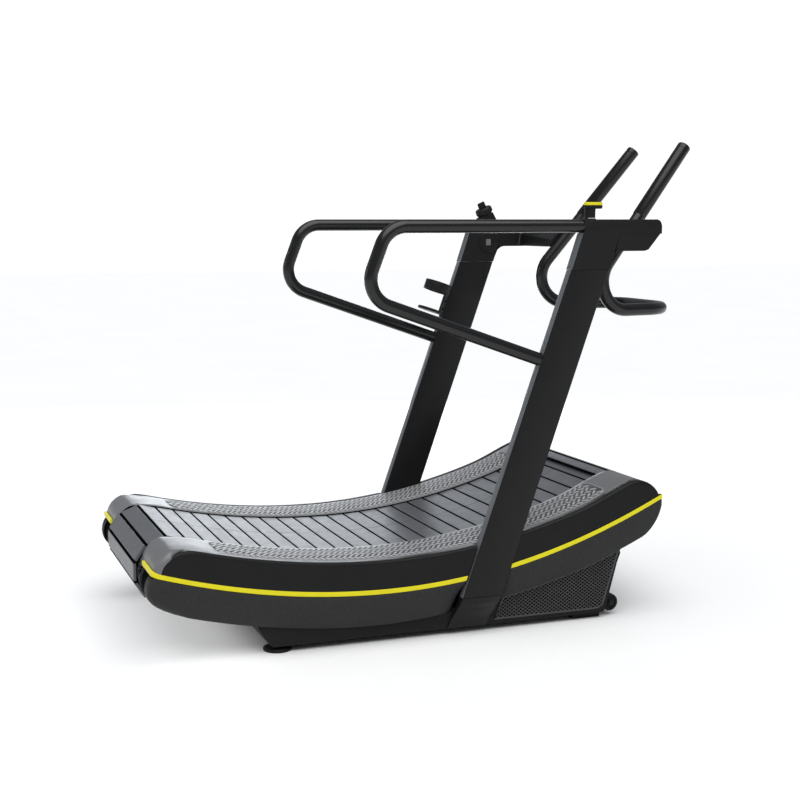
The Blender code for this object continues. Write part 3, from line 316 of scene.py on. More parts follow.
def fillet_profile(points, radii, steps=4):
    """Round the corners of an open or closed 2-D profile; radii has one entry a point, 0 keeps it sharp."""
    out = []
    n = len(points)
    for i, (p, r) in enumerate(zip(points, radii)):
        if r <= 0:
            out.append(p)
            continue
        q = Vector(p)
        a, b = (Vector(points[i - 1]) - q), (Vector(points[(i + 1) % n]) - q)
        la, lb = a.length, b.length
        a.normalize()
        b.normalize()
        half = a.angle(b) / 2
        reach = min(r / math.tan(half), la * 0.49, lb * 0.49)
        r = reach * math.tan(half)
        centre = q + (a + b).normalized() * (r / math.sin(half))
        first, last = q + a * reach - centre, q + b * reach - centre
        sweep = first.angle(last)
        sign = 1 if first.x * last.y - first.y * last.x > 0 else -1
        for k in range(steps + 1):
            t = sign * sweep * k / steps
            v = Vector((first.x * math.cos(t) - first.y * math.sin(t), first.x * math.sin(t) + first.y * math.cos(t)))
            out.append(tuple(centre + v))
    return out


def rounded(points, radii, steps=14):
    points = [Vector(p) for p in points]
    path = [points[0]]
    for i in range(1, len(points) - 1):
        before, corner, after = points[i - 1], points[i], points[i + 1]
        a, b = (before - corner).normalized(), (after - corner).normalized()
        half = a.angle(b) / 2
        radius = radii[i - 1]
        reach = radius / math.tan(half)
        centre = corner + (a + b).normalized() * (radius / math.sin(half))
        first, last = corner + a * reach - centre, corner + b * reach - centre
        sweep = first.angle(last)
        normal = first.cross(last).normalized()
        for k in range(steps + 1):
            path.append(centre + Matrix.Rotation(sweep * k / steps, 3, normal) @ first)
    path.append(points[-1])
    return path


def add_pipe(bm, path, radius, sides=36, dome=0.0):
    """Round tube along a path, closed at both ends; dome rounds the ends off."""
    path = [Vector(p) for p in path]
    tangents = []
    for i in range(len(path)):
        a, b = path[max(0, i - 1)], path[min(len(path) - 1, i + 1)]
        tangents.append((b - a).normalized())
    side = tangents[0].orthogonal().normalized()
    rings = []
    frames = []
    for i, t in enumerate(tangents):
        if i:
            side = (tangents[i - 1].rotation_difference(t) @ side)
        side = (side - t * side.dot(t)).normalized()
        frames.append((path[i], side.copy(), t.cross(side).normalized(), t))
    def ring(p, s, u, r):
        return [p + (s * math.cos(math.tau * k / sides) + u * math.sin(math.tau * k / sides)) * r for k in range(sides)]
    if dome:
        p, s, u, t = frames[0]
        for k in range(5, 0, -1):
            a = math.radians(90 * k / 6)
            rings.append(ring(p + t * (dome - dome * math.sin(a)) * 1.0, s, u, radius - dome + dome * math.cos(a)))
        frames[0] = (p + t * dome, s, u, t)
    for p, s, u, t in frames[:-1]:
        rings.append(ring(p, s, u, radius))
    p, s, u, t = frames[-1]
    if dome:
        rings.append(ring(p - t * dome, s, u, radius))
        for k in range(1, 6):
            a = math.radians(90 * k / 6)
            rings.append(ring(p - t * (dome - dome * math.sin(a)), s, u, radius - dome + dome * math.cos(a)))
    else:
        rings.append(ring(p, s, u, radius))
    add_loft(bm, rings)


# ---------------------------------------------------------------- curves of the body
def deck(x):
    return DECK_Z + (DECK_REAR if x < DECK_X else DECK_FRONT) * (x - DECK_X) ** 2


def slope(x):
    return 2 * (DECK_REAR if x < DECK_X else DECK_FRONT) * (x - DECK_X)


def pod(x):
    return deck(x) + FRONT_RISE * ease((x - 0.43) / 0.16)


def strip(x):
    return deck(x) - STRIP_DROP


def up_rear(z):
    return LEAN * z + UP_REAR


def up_front(z):
    return LEAN * z + UP_FRONT


def rear_limit(z):
    return up_rear(z) - 0.008


def front_limit(z):
    return up_front(z) + 0.002


def meet(limit, height):
    x = 0.1
    for _ in range(40):
        x = limit(height(x))
    return x


def end_point(shape, degrees, inset=0.0):
    cx, cz, rx, rz = shape
    t = math.radians(degrees)
    return (cx + (rx - inset) * math.cos(t), cz + (rz - inset) * math.sin(t))


def pod_bottom(x):
    z = deck(x) - POD_DROP - DROP_WAIST * ease((x + 0.35) / 0.55) - DROP_FRONT * ease((x - 0.20) / 0.40)
    if x < -0.8720:
        z += 0.058 * (1 - math.sqrt(max(0.0, 1 - ((-0.8720 - x) / 0.0935) ** 2)))
    if x > 0.6640:
        z += 0.092 * (1 - math.sqrt(max(0.0, 1 - ((x - 0.6640) / 0.0590) ** 2)))
    return z


def outline_top(n_deck=90, n_end=26, rear_start=177.0, front_stop=22.0):
    """Points of the upper outline with their inward normals, rear to front."""
    pts = [end_point(REAR_END, t) for t in spaced(rear_start, 106, n_end)]
    pts += [(x, pod(x)) for x in spaced(REAR_TANGENT, FRONT_TANGENT, n_deck)[1:-1]]
    pts += [end_point(FRONT_END, t) for t in spaced(112, front_stop, n_end)]
    # a light smoothing over the two joins keeps highlights even
    for _ in range(3):
        pts = [pts[0]] + [((a[0] + 2 * b[0] + c[0]) / 4, (a[1] + 2 * b[1] + c[1]) / 4)
                          for a, b, c in zip(pts, pts[1:], pts[2:])] + [pts[-1]]
    out = []
    for i, p in enumerate(pts):
        a, b = pts[max(0, i - 1)], pts[min(len(pts) - 1, i + 1)]
        tx, tz = b[0] - a[0], b[1] - a[1]
        n = math.hypot(tx, tz)
        out.append((p[0], p[1], tz / n, -tx / n))
    return out


TOP = outline_top()


# ================================================================ slat belt
def tangent_circle(x, radius):
    s = slope(x)
    n = math.hypot(1, s)
    return (x + s / n * radius, deck(x) - radius / n)


REAR_C, FRONT_C = tangent_circle(REAR_T, REAR_BELT_R), tangent_circle(FRONT_T, FRONT_BELT_R)


def belt_path(inset):
    """The closed belt path moved inwards by inset: top run, front drum, return run, rear drum."""
    pts = []
    for x in spaced(REAR_T, FRONT_T, 240):
        s = slope(x)
        n = math.hypot(1, s)
        pts.append((x + inset * s / n, deck(x) - inset / n))
    dx, dz = FRONT_C[0] - REAR_C[0], FRONT_C[1] - REAR_C[1]
    dist = math.hypot(dx, dz)
    base = math.degrees(math.atan2(dz, dx))
    lean = math.degrees(math.asin((REAR_BELT_R - FRONT_BELT_R) / dist))
    under = base - 90 + lean
    top_front = 90 + math.degrees(math.atan(slope(FRONT_T)))
    top_rear = 90 + math.degrees(math.atan(slope(REAR_T)))

    def circle(c, r, a, b, n):
        return [(c[0] + r * math.cos(math.radians(t)), c[1] + r * math.sin(math.radians(t))) for t in spaced(a, b, n)]

    pts += circle(FRONT_C, FRONT_BELT_R - inset, top_front, under, 90)[1:]
    start = pts[-1]
    rear = circle(REAR_C, REAR_BELT_R - inset, under + 360 if under < 0 else under, top_rear, 110)
    for t in spaced(0, 1, 180)[1:]:
        pts.append((start[0] + (rear[0][0] - start[0]) * t, start[1] + (rear[0][1] - start[1]) * t))
    return pts + rear[1:-1]


def walker(points):
    total = [0.0]
    count = len(points)
    for i in range(count):
        a, b = points[i], points[(i + 1) % count]
        total.append(total[-1] + math.hypot(b[0] - a[0], b[1] - a[1]))

    def at(s):
        s %= total[-1]
        lo, hi = 0, count
        while hi - lo > 1:
            mid = (lo + hi) // 2
            if total[mid] <= s:
                lo = mid
            else:
                hi = mid
        a, b = points[lo], points[(lo + 1) % count]
        span = total[lo + 1] - total[lo]
        t = (s - total[lo]) / span
        tx, tz = (b[0] - a[0]) / span, (b[1] - a[1]) / span
        return Vector((a[0] + (b[0] - a[0]) * t, a[1] + (b[1] - a[1]) * t)), Vector((tz, -tx))

    return total[-1], at


SLAT_PHASE = 0.9515
SLAT_WIDE = 0.0536
SLAT_LOW = 0.0040          # the slats run this far below the inner edge of the rails
NEUTRAL = 0.0065


def make_slats():
    length, at = walker(belt_path(NEUTRAL))
    count = round(length / 0.0608)
    pitch = length / count
    w = SLAT_WIDE / 2
    bm = bmesh.new()
    stations = [(-BELT_HALF, 0), (-BELT_HALF + 0.0012, 1), (-0.0013, 1), (-0.0009, 2), (0.0009, 2), (0.0013, 1),
                (BELT_HALF - 0.0012, 1), (BELT_HALF, 0)]
    for i in range(count):
        s = (i + SLAT_PHASE) * pitch
        c, n = at(s)
        p, _ = at(s - w)
        q, _ = at(s + w)
        sink = ((p - c).dot(n) + (q - c).dot(n)) / 2
        t = Vector((-n.y, n.x))
        middle = c - n * (NEUTRAL - max(0.0, sink) * 0.85)
        low = SLAT_LOW * ease((c.x + 0.9500) / 0.0700)
        # section across the slat: (along the belt, depth under its top)
        section = [(-w, 0.0086), (-w, 0.0012), (-w + 0.0004, 0.0004), (-w + 0.0012, 0.0), (w - 0.0012, 0.0),
                   (w - 0.0004, 0.0004), (w, 0.0012), (w, 0.0086)]
        rings = []
        for y, level in stations:
            ring = []
            for a, d in section:
                extra = low + {0: 0.0010, 1: 0.0, 2: 0.0013}[level] if d < 0.008 else 0.0
                v = middle + t * a + n * (d + extra)
                ring.append((v.x, y, v.y))
            rings.append(ring)
        made = add_loft(bm, rings)
        # painted shade: the side walls and underside of each slat take the near-black shade finish, which stands for
        # the shade in the gaps between slats
        walls = {0, 6, 7}
        for a, b in zip(made, made[1:]):
            for j in range(len(a)):
                k = (j + 1) % len(a)
                if j in walls:
                    for face in a[j].link_faces:
                        if a[k] in face.verts and b[j] in face.verts:
                            face.material_index = 1
    return place(bm, "belt_slats", SLAT, stands_for="slat_belt", smooth=14, extra=(PAINTED_SHADE,))


def make_carrier():
    """One plain closed band across the belt's width under the slats, in the painted-shade black: it stands for the
    shade seen in the gaps between slats.
    """
    outer, inner = belt_path(0.0088), belt_path(0.0130)
    bm = bmesh.new()
    half = BELT_HALF - 0.0012
    rings = [[(a[0], -half, a[1]), (a[0], half, a[1]), (b[0], half, b[1]), (b[0], -half, b[1])]
             for a, b in zip(outer, inner)]
    add_loft(bm, rings, closed=True)
    return place(bm, "belt_carrier", PAINTED_SHADE, smooth=30)


make_slats()
make_carrier()


# ================================================================ foot rails with tread, front cover
def make_rail(word, side):
    bm = bmesh.new()
    section = [(RAIL_IN, 0.0090), (RAIL_IN, 0.0022), (RAIL_IN + 0.0008, 0.0008), (RAIL_IN + 0.0024, 0.0),
               (RAIL_IN + 0.02, 0.0), (0.34, 0.0), (RAIL_OUT - 0.02, 0.0), (RAIL_OUT - 0.0016, 0.0), (RAIL_OUT, 0.0012),
               (RAIL_OUT, 0.0090)]
    rings = []
    for x, z, nx, nz in outline_top(rear_start=180.0, front_stop=20.0):
        k = corner_share(x, z)
        ring = [(y, d) for y, d in section[:6]]
        # towards the rear end the rail rolls over the corner of the pod, in place of the black panel
        r = 0.0012 + 0.0208 * k
        edge = RAIL_OUT + (PANEL_OUT - 0.0004 - RAIL_OUT) * k
        for a in spaced(0, 90, 7):
            ring.append((edge - r + r * math.sin(math.radians(a)), r - r * math.cos(math.radians(a))))
        ring.append((edge, 0.0090 + 0.0150 * k))
        rings.append([(x + nx * d, side * y, z + nz * d) for y, d in ring])
    made = add_loft(bm, rings)
    # painted shade: the rail's inner wall beside the belt and its closing face underneath take the near-black shade
    # finish, which stands for the shadowed gap beside the belt
    for a, b in zip(made, made[1:]):
        for j in (0, 1, len(a) - 1):
            for face in a[j].link_faces:
                if a[(j + 1) % len(a)] in face.verts and b[j] in face.verts and j != 1:
                    face.material_index = 1
    return place(bm, "rail_" + word, SILVER, stands_for="foot_rail_" + word, smooth=45, extra=(PAINTED_SHADE,))


def corner_share(x, z):
    """0 along the deck, rising to 1 round the rear end, where the silver cap takes over the outer corner."""
    return ease((-0.842 - x) / 0.072)


TREAD_X0, TREAD_X1, TREAD_Y0, TREAD_Y1 = -0.752, 0.538, 0.2665, 0.4185


def make_tread(word, side):
    bm = bmesh.new()
    pitch_x, rows = 0.0182, 6
    pitch_y = (TREAD_Y1 - TREAD_Y0 - 0.006) / rows
    count = int((TREAD_X1 - TREAD_X0) / pitch_x)
    for j in range(rows):
        y0 = TREAD_Y0 + 0.003 + pitch_y * (j + 0.5)
        for i in range(count):
            x0 = TREAD_X0 + pitch_x * (i + 0.5 + (0.5 if j % 2 else 0.0))
            # rounded corners of the treaded field
            fx = max(0.0, x0 - (TREAD_X1 - 0.040), (TREAD_X0 + 0.045) - x0)
            fy = max(0.0, y0 - (TREAD_Y1 - 0.035), (TREAD_Y0 + 0.035) - y0)
            if math.hypot(fx, fy) > 0.036 and fx > 0:
                continue
            turn = math.radians(38 if j % 2 else -38)
            ux, uy = math.sin(turn), math.cos(turn)
            vx, vy = uy, -ux
            long_, wide = pitch_y * 0.60, 0.0044
            rise = 0.0021
            shape = [(-1, 0), (-0.62, 1), (0.62, 1), (1, 0), (0.62, -1), (-0.62, -1)]
            foot, crown = [], []
            for a, b in shape:
                for scale, h, out in ((1.0, -0.0003, foot), (0.72, rise, crown)):
                    x = x0 + a * long_ * scale * ux + b * wide * scale * vx
                    y = y0 + a * long_ * scale * uy + b * wide * scale * vy
                    s = slope(x)
                    n = math.hypot(1, s)
                    out.append((x - s / n * h, side * y, pod(x) + h / n))
            f = [bm.verts.new(p) for p in foot]
            c = [bm.verts.new(p) for p in crown]
            for k in range(6):
                m = (k + 1) % 6
                bm.faces.new((f[k], f[m], c[m], c[k]))
            bm.faces.new(c)
            bm.faces.new(list(reversed(f)))
    # thin raised border round the field
    border = []
    corner = 0.034
    centres = [(TREAD_X1 - corner, TREAD_Y1 - corner, 0), (TREAD_X0 + corner, TREAD_Y1 - corner, 90),
               (TREAD_X0 + corner, TREAD_Y0 + corner, 180), (TREAD_X1 - corner, TREAD_Y0 + corner, 270)]
    for k, (cx, cy, a0) in enumerate(centres):
        for t in spaced(a0, a0 + 90, 8):
            border.append((cx + corner * math.cos(math.radians(t)), cy + corner * math.sin(math.radians(t))))
        nx = centres[(k + 1) % 4]
        t = math.radians(a0 + 90)
        end = (nx[0] + corner * math.cos(t), nx[1] + corner * math.sin(t))
        here = border[-1]
        steps = 60 if abs(end[0] - here[0]) > 0.2 else 6
        for q in spaced(0, 1, steps)[1:-1]:
            border.append((here[0] + (end[0] - here[0]) * q, here[1] + (end[1] - here[1]) * q))
    rings = []
    m = len(border)
    for i, (x, y) in enumerate(border):
        a, b = border[i - 1], border[(i + 1) % m]
        tx, ty = b[0] - a[0], b[1] - a[1]
        l = math.hypot(tx, ty) or 1.0
        ox, oy = ty / l, -tx / l
        ring = []
        for o, h in ((-0.0016, -0.0003), (-0.0009, 0.0010), (0.0009, 0.0010), (0.0016, -0.0003)):
            px, py = x + ox * o, y + oy * o
            s = slope(px)
            n = math.hypot(1, s)
            ring.append((px - s / n * h, side * py, pod(px) + h / n))
        rings.append(ring)
    add_loft(bm, rings, closed=True)
    place(bm, "rail_tread_" + word, TREAD, smooth=25)
    # the darker field that the lozenges stand on
    bm = bmesh.new()
    rings = []
    for x in spaced(TREAD_X0 + 0.0005, TREAD_X1 - 0.0005, 130):
        near = min(x - TREAD_X0, TREAD_X1 - x)
        cut = corner - math.sqrt(max(0.0, corner ** 2 - max(0.0, corner - near) ** 2)) if near < corner else 0.0
        s = slope(x)
        n = math.hypot(1, s)
        row = []
        for y in (TREAD_Y0 + cut, (TREAD_Y0 + TREAD_Y1) / 2, TREAD_Y1 - cut):
            row.append((x - s / n * 0.00025, side * y, pod(x) + 0.00025 / n))
        rings.append(row)
    add_loft(bm, rings, caps=False, around=False)
    sheet = place(bm, "rail_field_" + word, FIELD, smooth=60)
    thick = sheet.modifiers.new("sheet", "SOLIDIFY")
    thick.thickness = 0.0004
    thick.offset = 0.0
    return sheet


def make_rail_screws(word, side):
    """Two countersunk screws through each foot rail beside the upright."""
    bm = bmesh.new()
    for x, y in ((-0.0946, 0.3580), (-0.0900, 0.2740)):
        s = slope(x)
        up = Vector((-s, 0, 1)).normalized()
        base = Vector((x, side * y, pod(x)))
        add_lathe(bm, [(0, 0.0012), (0.0022, 0.0012), (0.0026, 0.0019), (0.0052, 0.0019), (0.0060, 0.0012), (0.0062, -0.001),
                       (0, -0.001)], base, up, 24)
    return place(bm, "rail_screws_" + word, COATED, smooth=30)


def end_xyz(shape, degrees, inset, y):
    x, z = end_point(shape, degrees, inset)
    return (x, y, z)


HOOD_EDGE = 84.0


def make_front_cover():
    bm = bmesh.new()
    width = RAIL_IN - 0.0006
    rings = []
    for t in [HOOD_EDGE, HOOD_EDGE - 0.2] + spaced(HOOD_EDGE - 0.8, -88, 66):
        extra = 0.0010 if t == HOOD_EDGE else 0.0002 if t == HOOD_EDGE - 0.2 else 0.0
        row = []
        for y, d in ((-width, 0.0050), (-width, 0.0012 + extra), (-width + 0.0010, extra), (width - 0.0010, extra),
                     (width, 0.0012 + extra), (width, 0.0050)):
            x, z = end_point(FRONT_END, t, d)
            row.append((x, y, z))
        rings.append(row)
    add_loft(bm, rings)
    hood = place(bm, "front_hood", SILVER, stands_for="front_cover", smooth=45, extra=(PAINTED_SHADE,))
    # painted shade: the rear-facing faces at the hood's upper edge take the near-black shade finish, which stands for
    # the shade in the joint behind the last slat
    for poly in hood.data.polygons:
        if poly.normal.x < -0.8 and poly.center.z > 0.44:
            poly.material_index = 1
    # the foremost slat, level with the deck, up to the hood
    bm = bmesh.new()
    half = BELT_HALF + 0.0005
    rings = []
    last = HOOD_EDGE + 1.6
    for t in spaced(114.0, last, 26):
        edge = 0.0010 if t > 113.9 or t < last + 0.1 else 0.0
        row = []
        for y, d in ((-half, 0.0040), (-half, 0.0014), (-half + 0.0012, 0.0), (-0.0013, 0.0), (-0.0009, 0.0016), (0.0009, 0.0016),
                     (0.0013, 0.0), (half - 0.0012, 0.0), (half, 0.0014), (half, 0.0040)):
            x, z = end_point(FRONT_END, t, d + edge + SLAT_LOW)
            row.append((x, y, z))
        rings.append(row)
    add_loft(bm, rings)
    place(bm, "belt_slat_front", SLAT, smooth=20)
    # painted shade: a near-black bed below the joints on either side of it stands for the shade in those joints
    bm = bmesh.new()
    rings = []
    for t in spaced(116, 64, 30):
        rings.append([end_xyz(FRONT_END, t, d, y) for y, d in ((-0.2533, 0.0104), (-0.2533, 0.0062), (0.2533, 0.0062), (0.2533, 0.0104))])
    add_loft(bm, rings)
    return place(bm, "belt_joint_shade_front", PAINTED_SHADE, smooth=45)


def make_front_corner(word, side):
    """Closes the front end of the pod below the rail, from the hood out to the side panels."""
    bm = bmesh.new()
    rings = []
    for t in spaced(20.5, -84, 46):
        section = ((RAIL_IN + 0.0002, 0.0260), (RAIL_IN + 0.0002, 0.0018), (RAIL_IN + 0.0010, 0.0006), (0.4284, 0.0006),
                   (0.4284, 0.0260))
        rings.append([end_xyz(FRONT_END, t, d + 0.0003, side * y) for y, d in section])
    add_loft(bm, rings)
    place(bm, "front_corner_" + word, SILVER, smooth=45)
    # painted shade: a near-black wall behind the corner, and a near-black filler strip beside the foremost slats, stand
    # for the shade there
    bm = bmesh.new()
    rings = []
    for t in spaced(40, -84, 40):
        rings.append([end_xyz(FRONT_END, t, d, side * y) for y, d in ((0.4284, 0.0340), (0.4284, 0.0012), (0.4350, 0.0032), (0.4350, 0.0340))])
    add_loft(bm, rings)
    place(bm, "front_corner_shade_wall_" + word, PAINTED_SHADE, smooth=45)
    bm = bmesh.new()
    rings = []
    for x in spaced(0.470, 0.594, 30):
        rings.append([(x, side * y, pod(x) - d) for y, d in ((0.2466, 0.0085), (0.2466, 0.0450), (0.2533, 0.0450), (0.2533, 0.0085))])
    add_loft(bm, rings)
    return place(bm, "belt_gap_shade_strip_" + word, PAINTED_SHADE, smooth=45)


for word, side in (("left", 1), ("right", -1)):
    make_front_corner(word, side)
    make_rail(word, side)
    make_tread(word, side)
    make_rail_screws(word, side)
make_front_cover()


# ================================================================ side pods
RIM = 0.0100


def make_upper(word, side, rear):
    """Upper side panel: a rolled top edge swept along the outline, and the flat face down to the yellow strip."""
    name = "upper_%s_%s" % (word, "rear" if rear else "front")
    bottom = lambda x: strip(x) + STRIP_HEIGHT / 2 + 0.0007
    bm = bmesh.new()
    limit = rear_limit if rear else front_limit
    rows = []
    x_cut = meet(limit, pod)
    for x, z, nx, nz in outline_top(120, 34, rear_start=173.0, front_stop=26.0):
        if (rear and x > x_cut) or (not rear and x < x_cut):
            continue
        d = 0.0200 * corner_share(x, z)
        rows.append((x + nx * d, z + nz * d, nx, nz, corner_share(x, z)))
    arc_steps = 7
    rings = []
    for x, z, nx, nz, share in rows:
        flange = FLANGE_IN + (PANEL_OUT - 0.0060 - FLANGE_IN) * share
        rim = RIM + (0.0030 - RIM) * share
        ring = [(x + nx * 0.0085, side * flange, z + nz * 0.0085), (x + nx * 0.0012, side * flange, z + nz * 0.0012),
                (x + nx * 0.0004, side * (flange + 0.0010), z + nz * 0.0004)]
        for a in spaced(0, 90, arc_steps):
            ca, sa = math.cos(math.radians(a)), math.sin(math.radians(a))
            y = PANEL_OUT - rim + rim * sa
            d = rim - rim * ca
            # the roll continues past its quarter on the flat part of the flange
            ring.append((x + nx * (d + 0.0004), side * y, z + nz * (d + 0.0004)))
        rings.append(ring)
    # slide the end rings onto the slanted edge beside the upright
    last = rings[-1] if rear else rings[0]
    moved = []
    for x, y, z in last:
        for _ in range(6):
            x = limit(z)
        moved.append((x, y, z))
    if rear:
        rings.append(moved)
    else:
        rings.insert(0, moved)
    sheet = add_loft(bm, rings, caps=False, around=False)
    # flat face: from the rim's lower edge to the strip
    low_ring = []
    ends = [ring[-1] for ring in rings]
    x_low = meet(limit, bottom)
    if rear:
        first_x = -0.9235
        far = [(first_x + (x_low - first_x) * i / (len(ends) - 1)) for i in range(len(ends))]
    else:
        last_x = 0.7165
        far = [(x_low + (last_x - x_low) * i / (len(ends) - 1)) for i in range(len(ends))]
    verts_top = [column[-1] for column in sheet]
    mids, lows = [], []
    for (ex, ey, ez), fx in zip(ends, far):
        fz = bottom(fx)
        mids.append(bm.verts.new((ex + (fx - ex) * 0.06, side * PANEL_OUT, ez + (fz - ez) * 0.06)))
        lows.append((fx, fz))
    low_a = [bm.verts.new((x, side * PANEL_OUT, z + 0.0008)) for x, z in lows]
    low_b = [bm.verts.new((x, side * (PANEL_OUT - 0.0008), z)) for x, z in lows]
    low_c = [bm.verts.new((x, side * (PANEL_OUT - 0.0088), z)) for x, z in lows]
    for a, b in ((verts_top, mids), (mids, low_a), (low_a, low_b), (low_b, low_c)):
        for i in range(len(a) - 1):
            bm.faces.new((a[i], a[i + 1], b[i + 1], b[i]))
    # return edge beside the upright
    if rear:
        column = [v for v in sheet[-1]] + [mids[-1], low_a[-1], low_b[-1]]
    else:
        column = [v for v in sheet[0]] + [mids[0], low_a[0], low_b[0]]
    back = [bm.verts.new((v.co.x, side * (abs(v.co.y) - 0.0085 if abs(v.co.y) > 0.445 else abs(v.co.y)), v.co.z - 0.0005))
            for v in column]
    for i in range(2, len(column) - 1):
        bm.faces.new((column[i], column[i + 1], back[i + 1], back[i]))
    obj = place(bm, name, BLACK, stands_for="upper_panel_%s_%s" % (word, "rear" if rear else "front"), smooth=40)
    thick = obj.modifiers.new("sheet", "SOLIDIFY")
    thick.thickness = 0.0012
    thick.offset = 0.0
    return obj


def make_strip(word, side, rear):
    """Yellow strip: a slightly crowned bead; at the rear it turns the corner of the pod."""
    h = STRIP_HEIGHT / 2 - 0.0004
    limit = rear_limit if rear else front_limit
    outer = PANEL_OUT + 0.0011
    x_rear = -0.9535
    path = []
    if rear:
        x_stop = meet(limit, lambda x: strip(x))
        r = 0.0230
        for y in spaced(0.3065, outer - r, 6)[:-1]:
            path.append((x_rear, y, 1, 0))
        for t in spaced(0, 90, 14):
            c, s = math.cos(math.radians(t)), math.sin(math.radians(t))
            path.append((x_rear + r - r * c, outer - r + r * s, c, s))
        for x in spaced(x_rear + r, x_stop, 70)[1:]:
            path.append((x, outer, 0, 1))
    else:
        x_stop = meet(limit, lambda x: strip(x))
        for x in spaced(x_stop, 0.7200, 44):
            path.append((x, outer, 0, 1))
    rings = []
    for k, (x, y, ox, oy) in enumerate(path):
        zc = strip(max(x, -0.9450)) + (max(0.0, -0.9450 - x) * 0.35)
        ring = []
        for dz, d in ((-h, 0.0075), (-h, 0.0008), (-h + 0.0008, 0.0), (-h * 0.4, -0.0002), (h * 0.4, -0.0002), (h - 0.0008, 0.0), (h, 0.0008), (h, 0.0075)):
            shift = 0.0
            if abs(oy) > 0.99 and k in (0, len(path) - 1):
                if (rear and k == len(path) - 1) or (not rear and k == 0):
                    shift = LEAN * dz
            ring.append((x + ox * d + shift, side * (y - oy * d), zc + dz))
        rings.append(ring)
    bm = bmesh.new()
    add_loft(bm, rings)
    return place(bm, "strip_%s_%s" % (word, "rear" if rear else "front"), YELLOW,
                 stands_for="trim_strip_%s_%s" % (word, "rear" if rear else "front"), smooth=40)


REAR_WALL = [(-0.9495, 0.2715), (-0.9580, 0.2580), (-0.9628, 0.2440), (-0.9646, 0.2300), (-0.9626, 0.2140), (-0.9566, 0.2000),
             (-0.9468, 0.1880), (-0.9330, 0.1765), (-0.9150, 0.1655), (-0.8930, 0.1550)]


def make_lower(word, side, rear):
    """Lower side panel: leans in towards the floor and rounds over at its rear corner and along its lower edge."""
    end = "rear" if rear else "front"
    top = lambda x: strip(x) - STRIP_HEIGHT / 2 - 0.0009
    limit = rear_limit if rear else front_limit
    edge_r = 0.0050
    rows = 14

    def lean_y(x, z):
        depth = max(0.0, top(x) - z) / 0.1122
        return PANEL_OUT - (PANEL_OUT - PANEL_FOOT) * min(1.15, depth) ** 1.7

    def column(q, p, turn=0.0, corner=0.0, wall_to=None):
        """From the strip line q to the outline p, then round the edge and inwards."""
        out = []
        length = math.hypot(q[0] - p[0], q[1] - p[1])
        r = max(edge_r, corner)
        for k in range(rows + 1):
            t = k / rows
            t = 1 - (1 - t) ** 1.6          # closer rows towards the rounded edge
            d = (1 - t) * length            # distance left to the outline
            x, z = q[0] + (p[0] - q[0]) * t, q[1] + (p[1] - q[1]) * t
            y = lean_y(max(-0.9440, min(0.7190, x)), z) - turn * ease(t / 0.5)
            if d < r:
                y -= r - math.sqrt(max(0.0, r * r - (r - d) ** 2))
            out.append((x, side * y, z))
        x, y, z = out[-1]
        if wall_to is not None:
            for yy in spaced(abs(y), wall_to, 5)[1:]:
                out.append((x, side * yy, z))
        else:
            for k in range(1, 6):
                out.append((x, side * (abs(y) - 0.0045 * k), z + 0.00012 * k))
        return out

    columns = []
    if rear:
        n = len(REAR_WALL)
        for i, p in enumerate(REAR_WALL):
            u = i / (n - 1)
            qx = -0.9440 + 0.052 * u ** 1.3
            columns.append(column((qx, top(qx)), p, corner=0.024, wall_to=0.4000))
        x0, z0 = REAR_WALL[-1]
        for x in spaced(-0.884, -0.20, 46):
            blend = ease((x + 0.884) / 0.05)
            r = 0.024 + (edge_r - 0.024) * blend
            qx = x + (1 - blend) * 0.0
            columns.append(column((qx, top(qx)), (x, pod_bottom(x)), corner=r,
                                  wall_to=0.4000 if blend < 0.35 else None))
        for d in (0.140, 0.120, 0.105, 0.090, 0.080, 0.070, 0.062, 0.054, 0.047, 0.040, 0.033, 0.027, 0.021, 0.015, 0.010, 0.005, 0.002, 0.0):
            moved = lambda z: limit(z) - d
            a, b = meet(moved, top), meet(moved, pod_bottom)
            columns.append(column((a, top(a)), (b, pod_bottom(b)), turn=0.026 * (1 - math.sqrt(max(0.0, 1 - (1 - d / 0.062) ** 2))) if d < 0.062 else 0.0))
    else:
        a, b = meet(limit, top), meet(limit, pod_bottom)
        columns.append(column((a, top(a)), (b, pod_bottom(b))))
        for x in spaced(0.20, 0.66, 34):
            columns.append(column((x, top(x)), (x, pod_bottom(x))))
        for u in spaced(0, 1, 16)[1:]:
            x = 0.66 + 0.0625 * math.sin(u * math.pi / 2)
            z = pod_bottom(x)
            if u == 1:
                z = top(0.7195) - 0.004
            qx = 0.66 + 0.0590 * u
            columns.append(column((qx, top(qx)), (x, min(z, top(qx) - 0.002)), corner=0.005 + 0.004 * u))
    width = min(len(c) for c in columns)
    bm = bmesh.new()
    add_loft(bm, [c[:width] for c in columns], caps=False, around=False)
    obj = place(bm, "lower_%s_%s" % (word, end), DARK, stands_for="lower_panel_%s_%s" % (word, end), smooth=50)
    thick = obj.modifiers.new("sheet", "SOLIDIFY")
    thick.thickness = 0.0030
    thick.offset = -1.0
    return obj


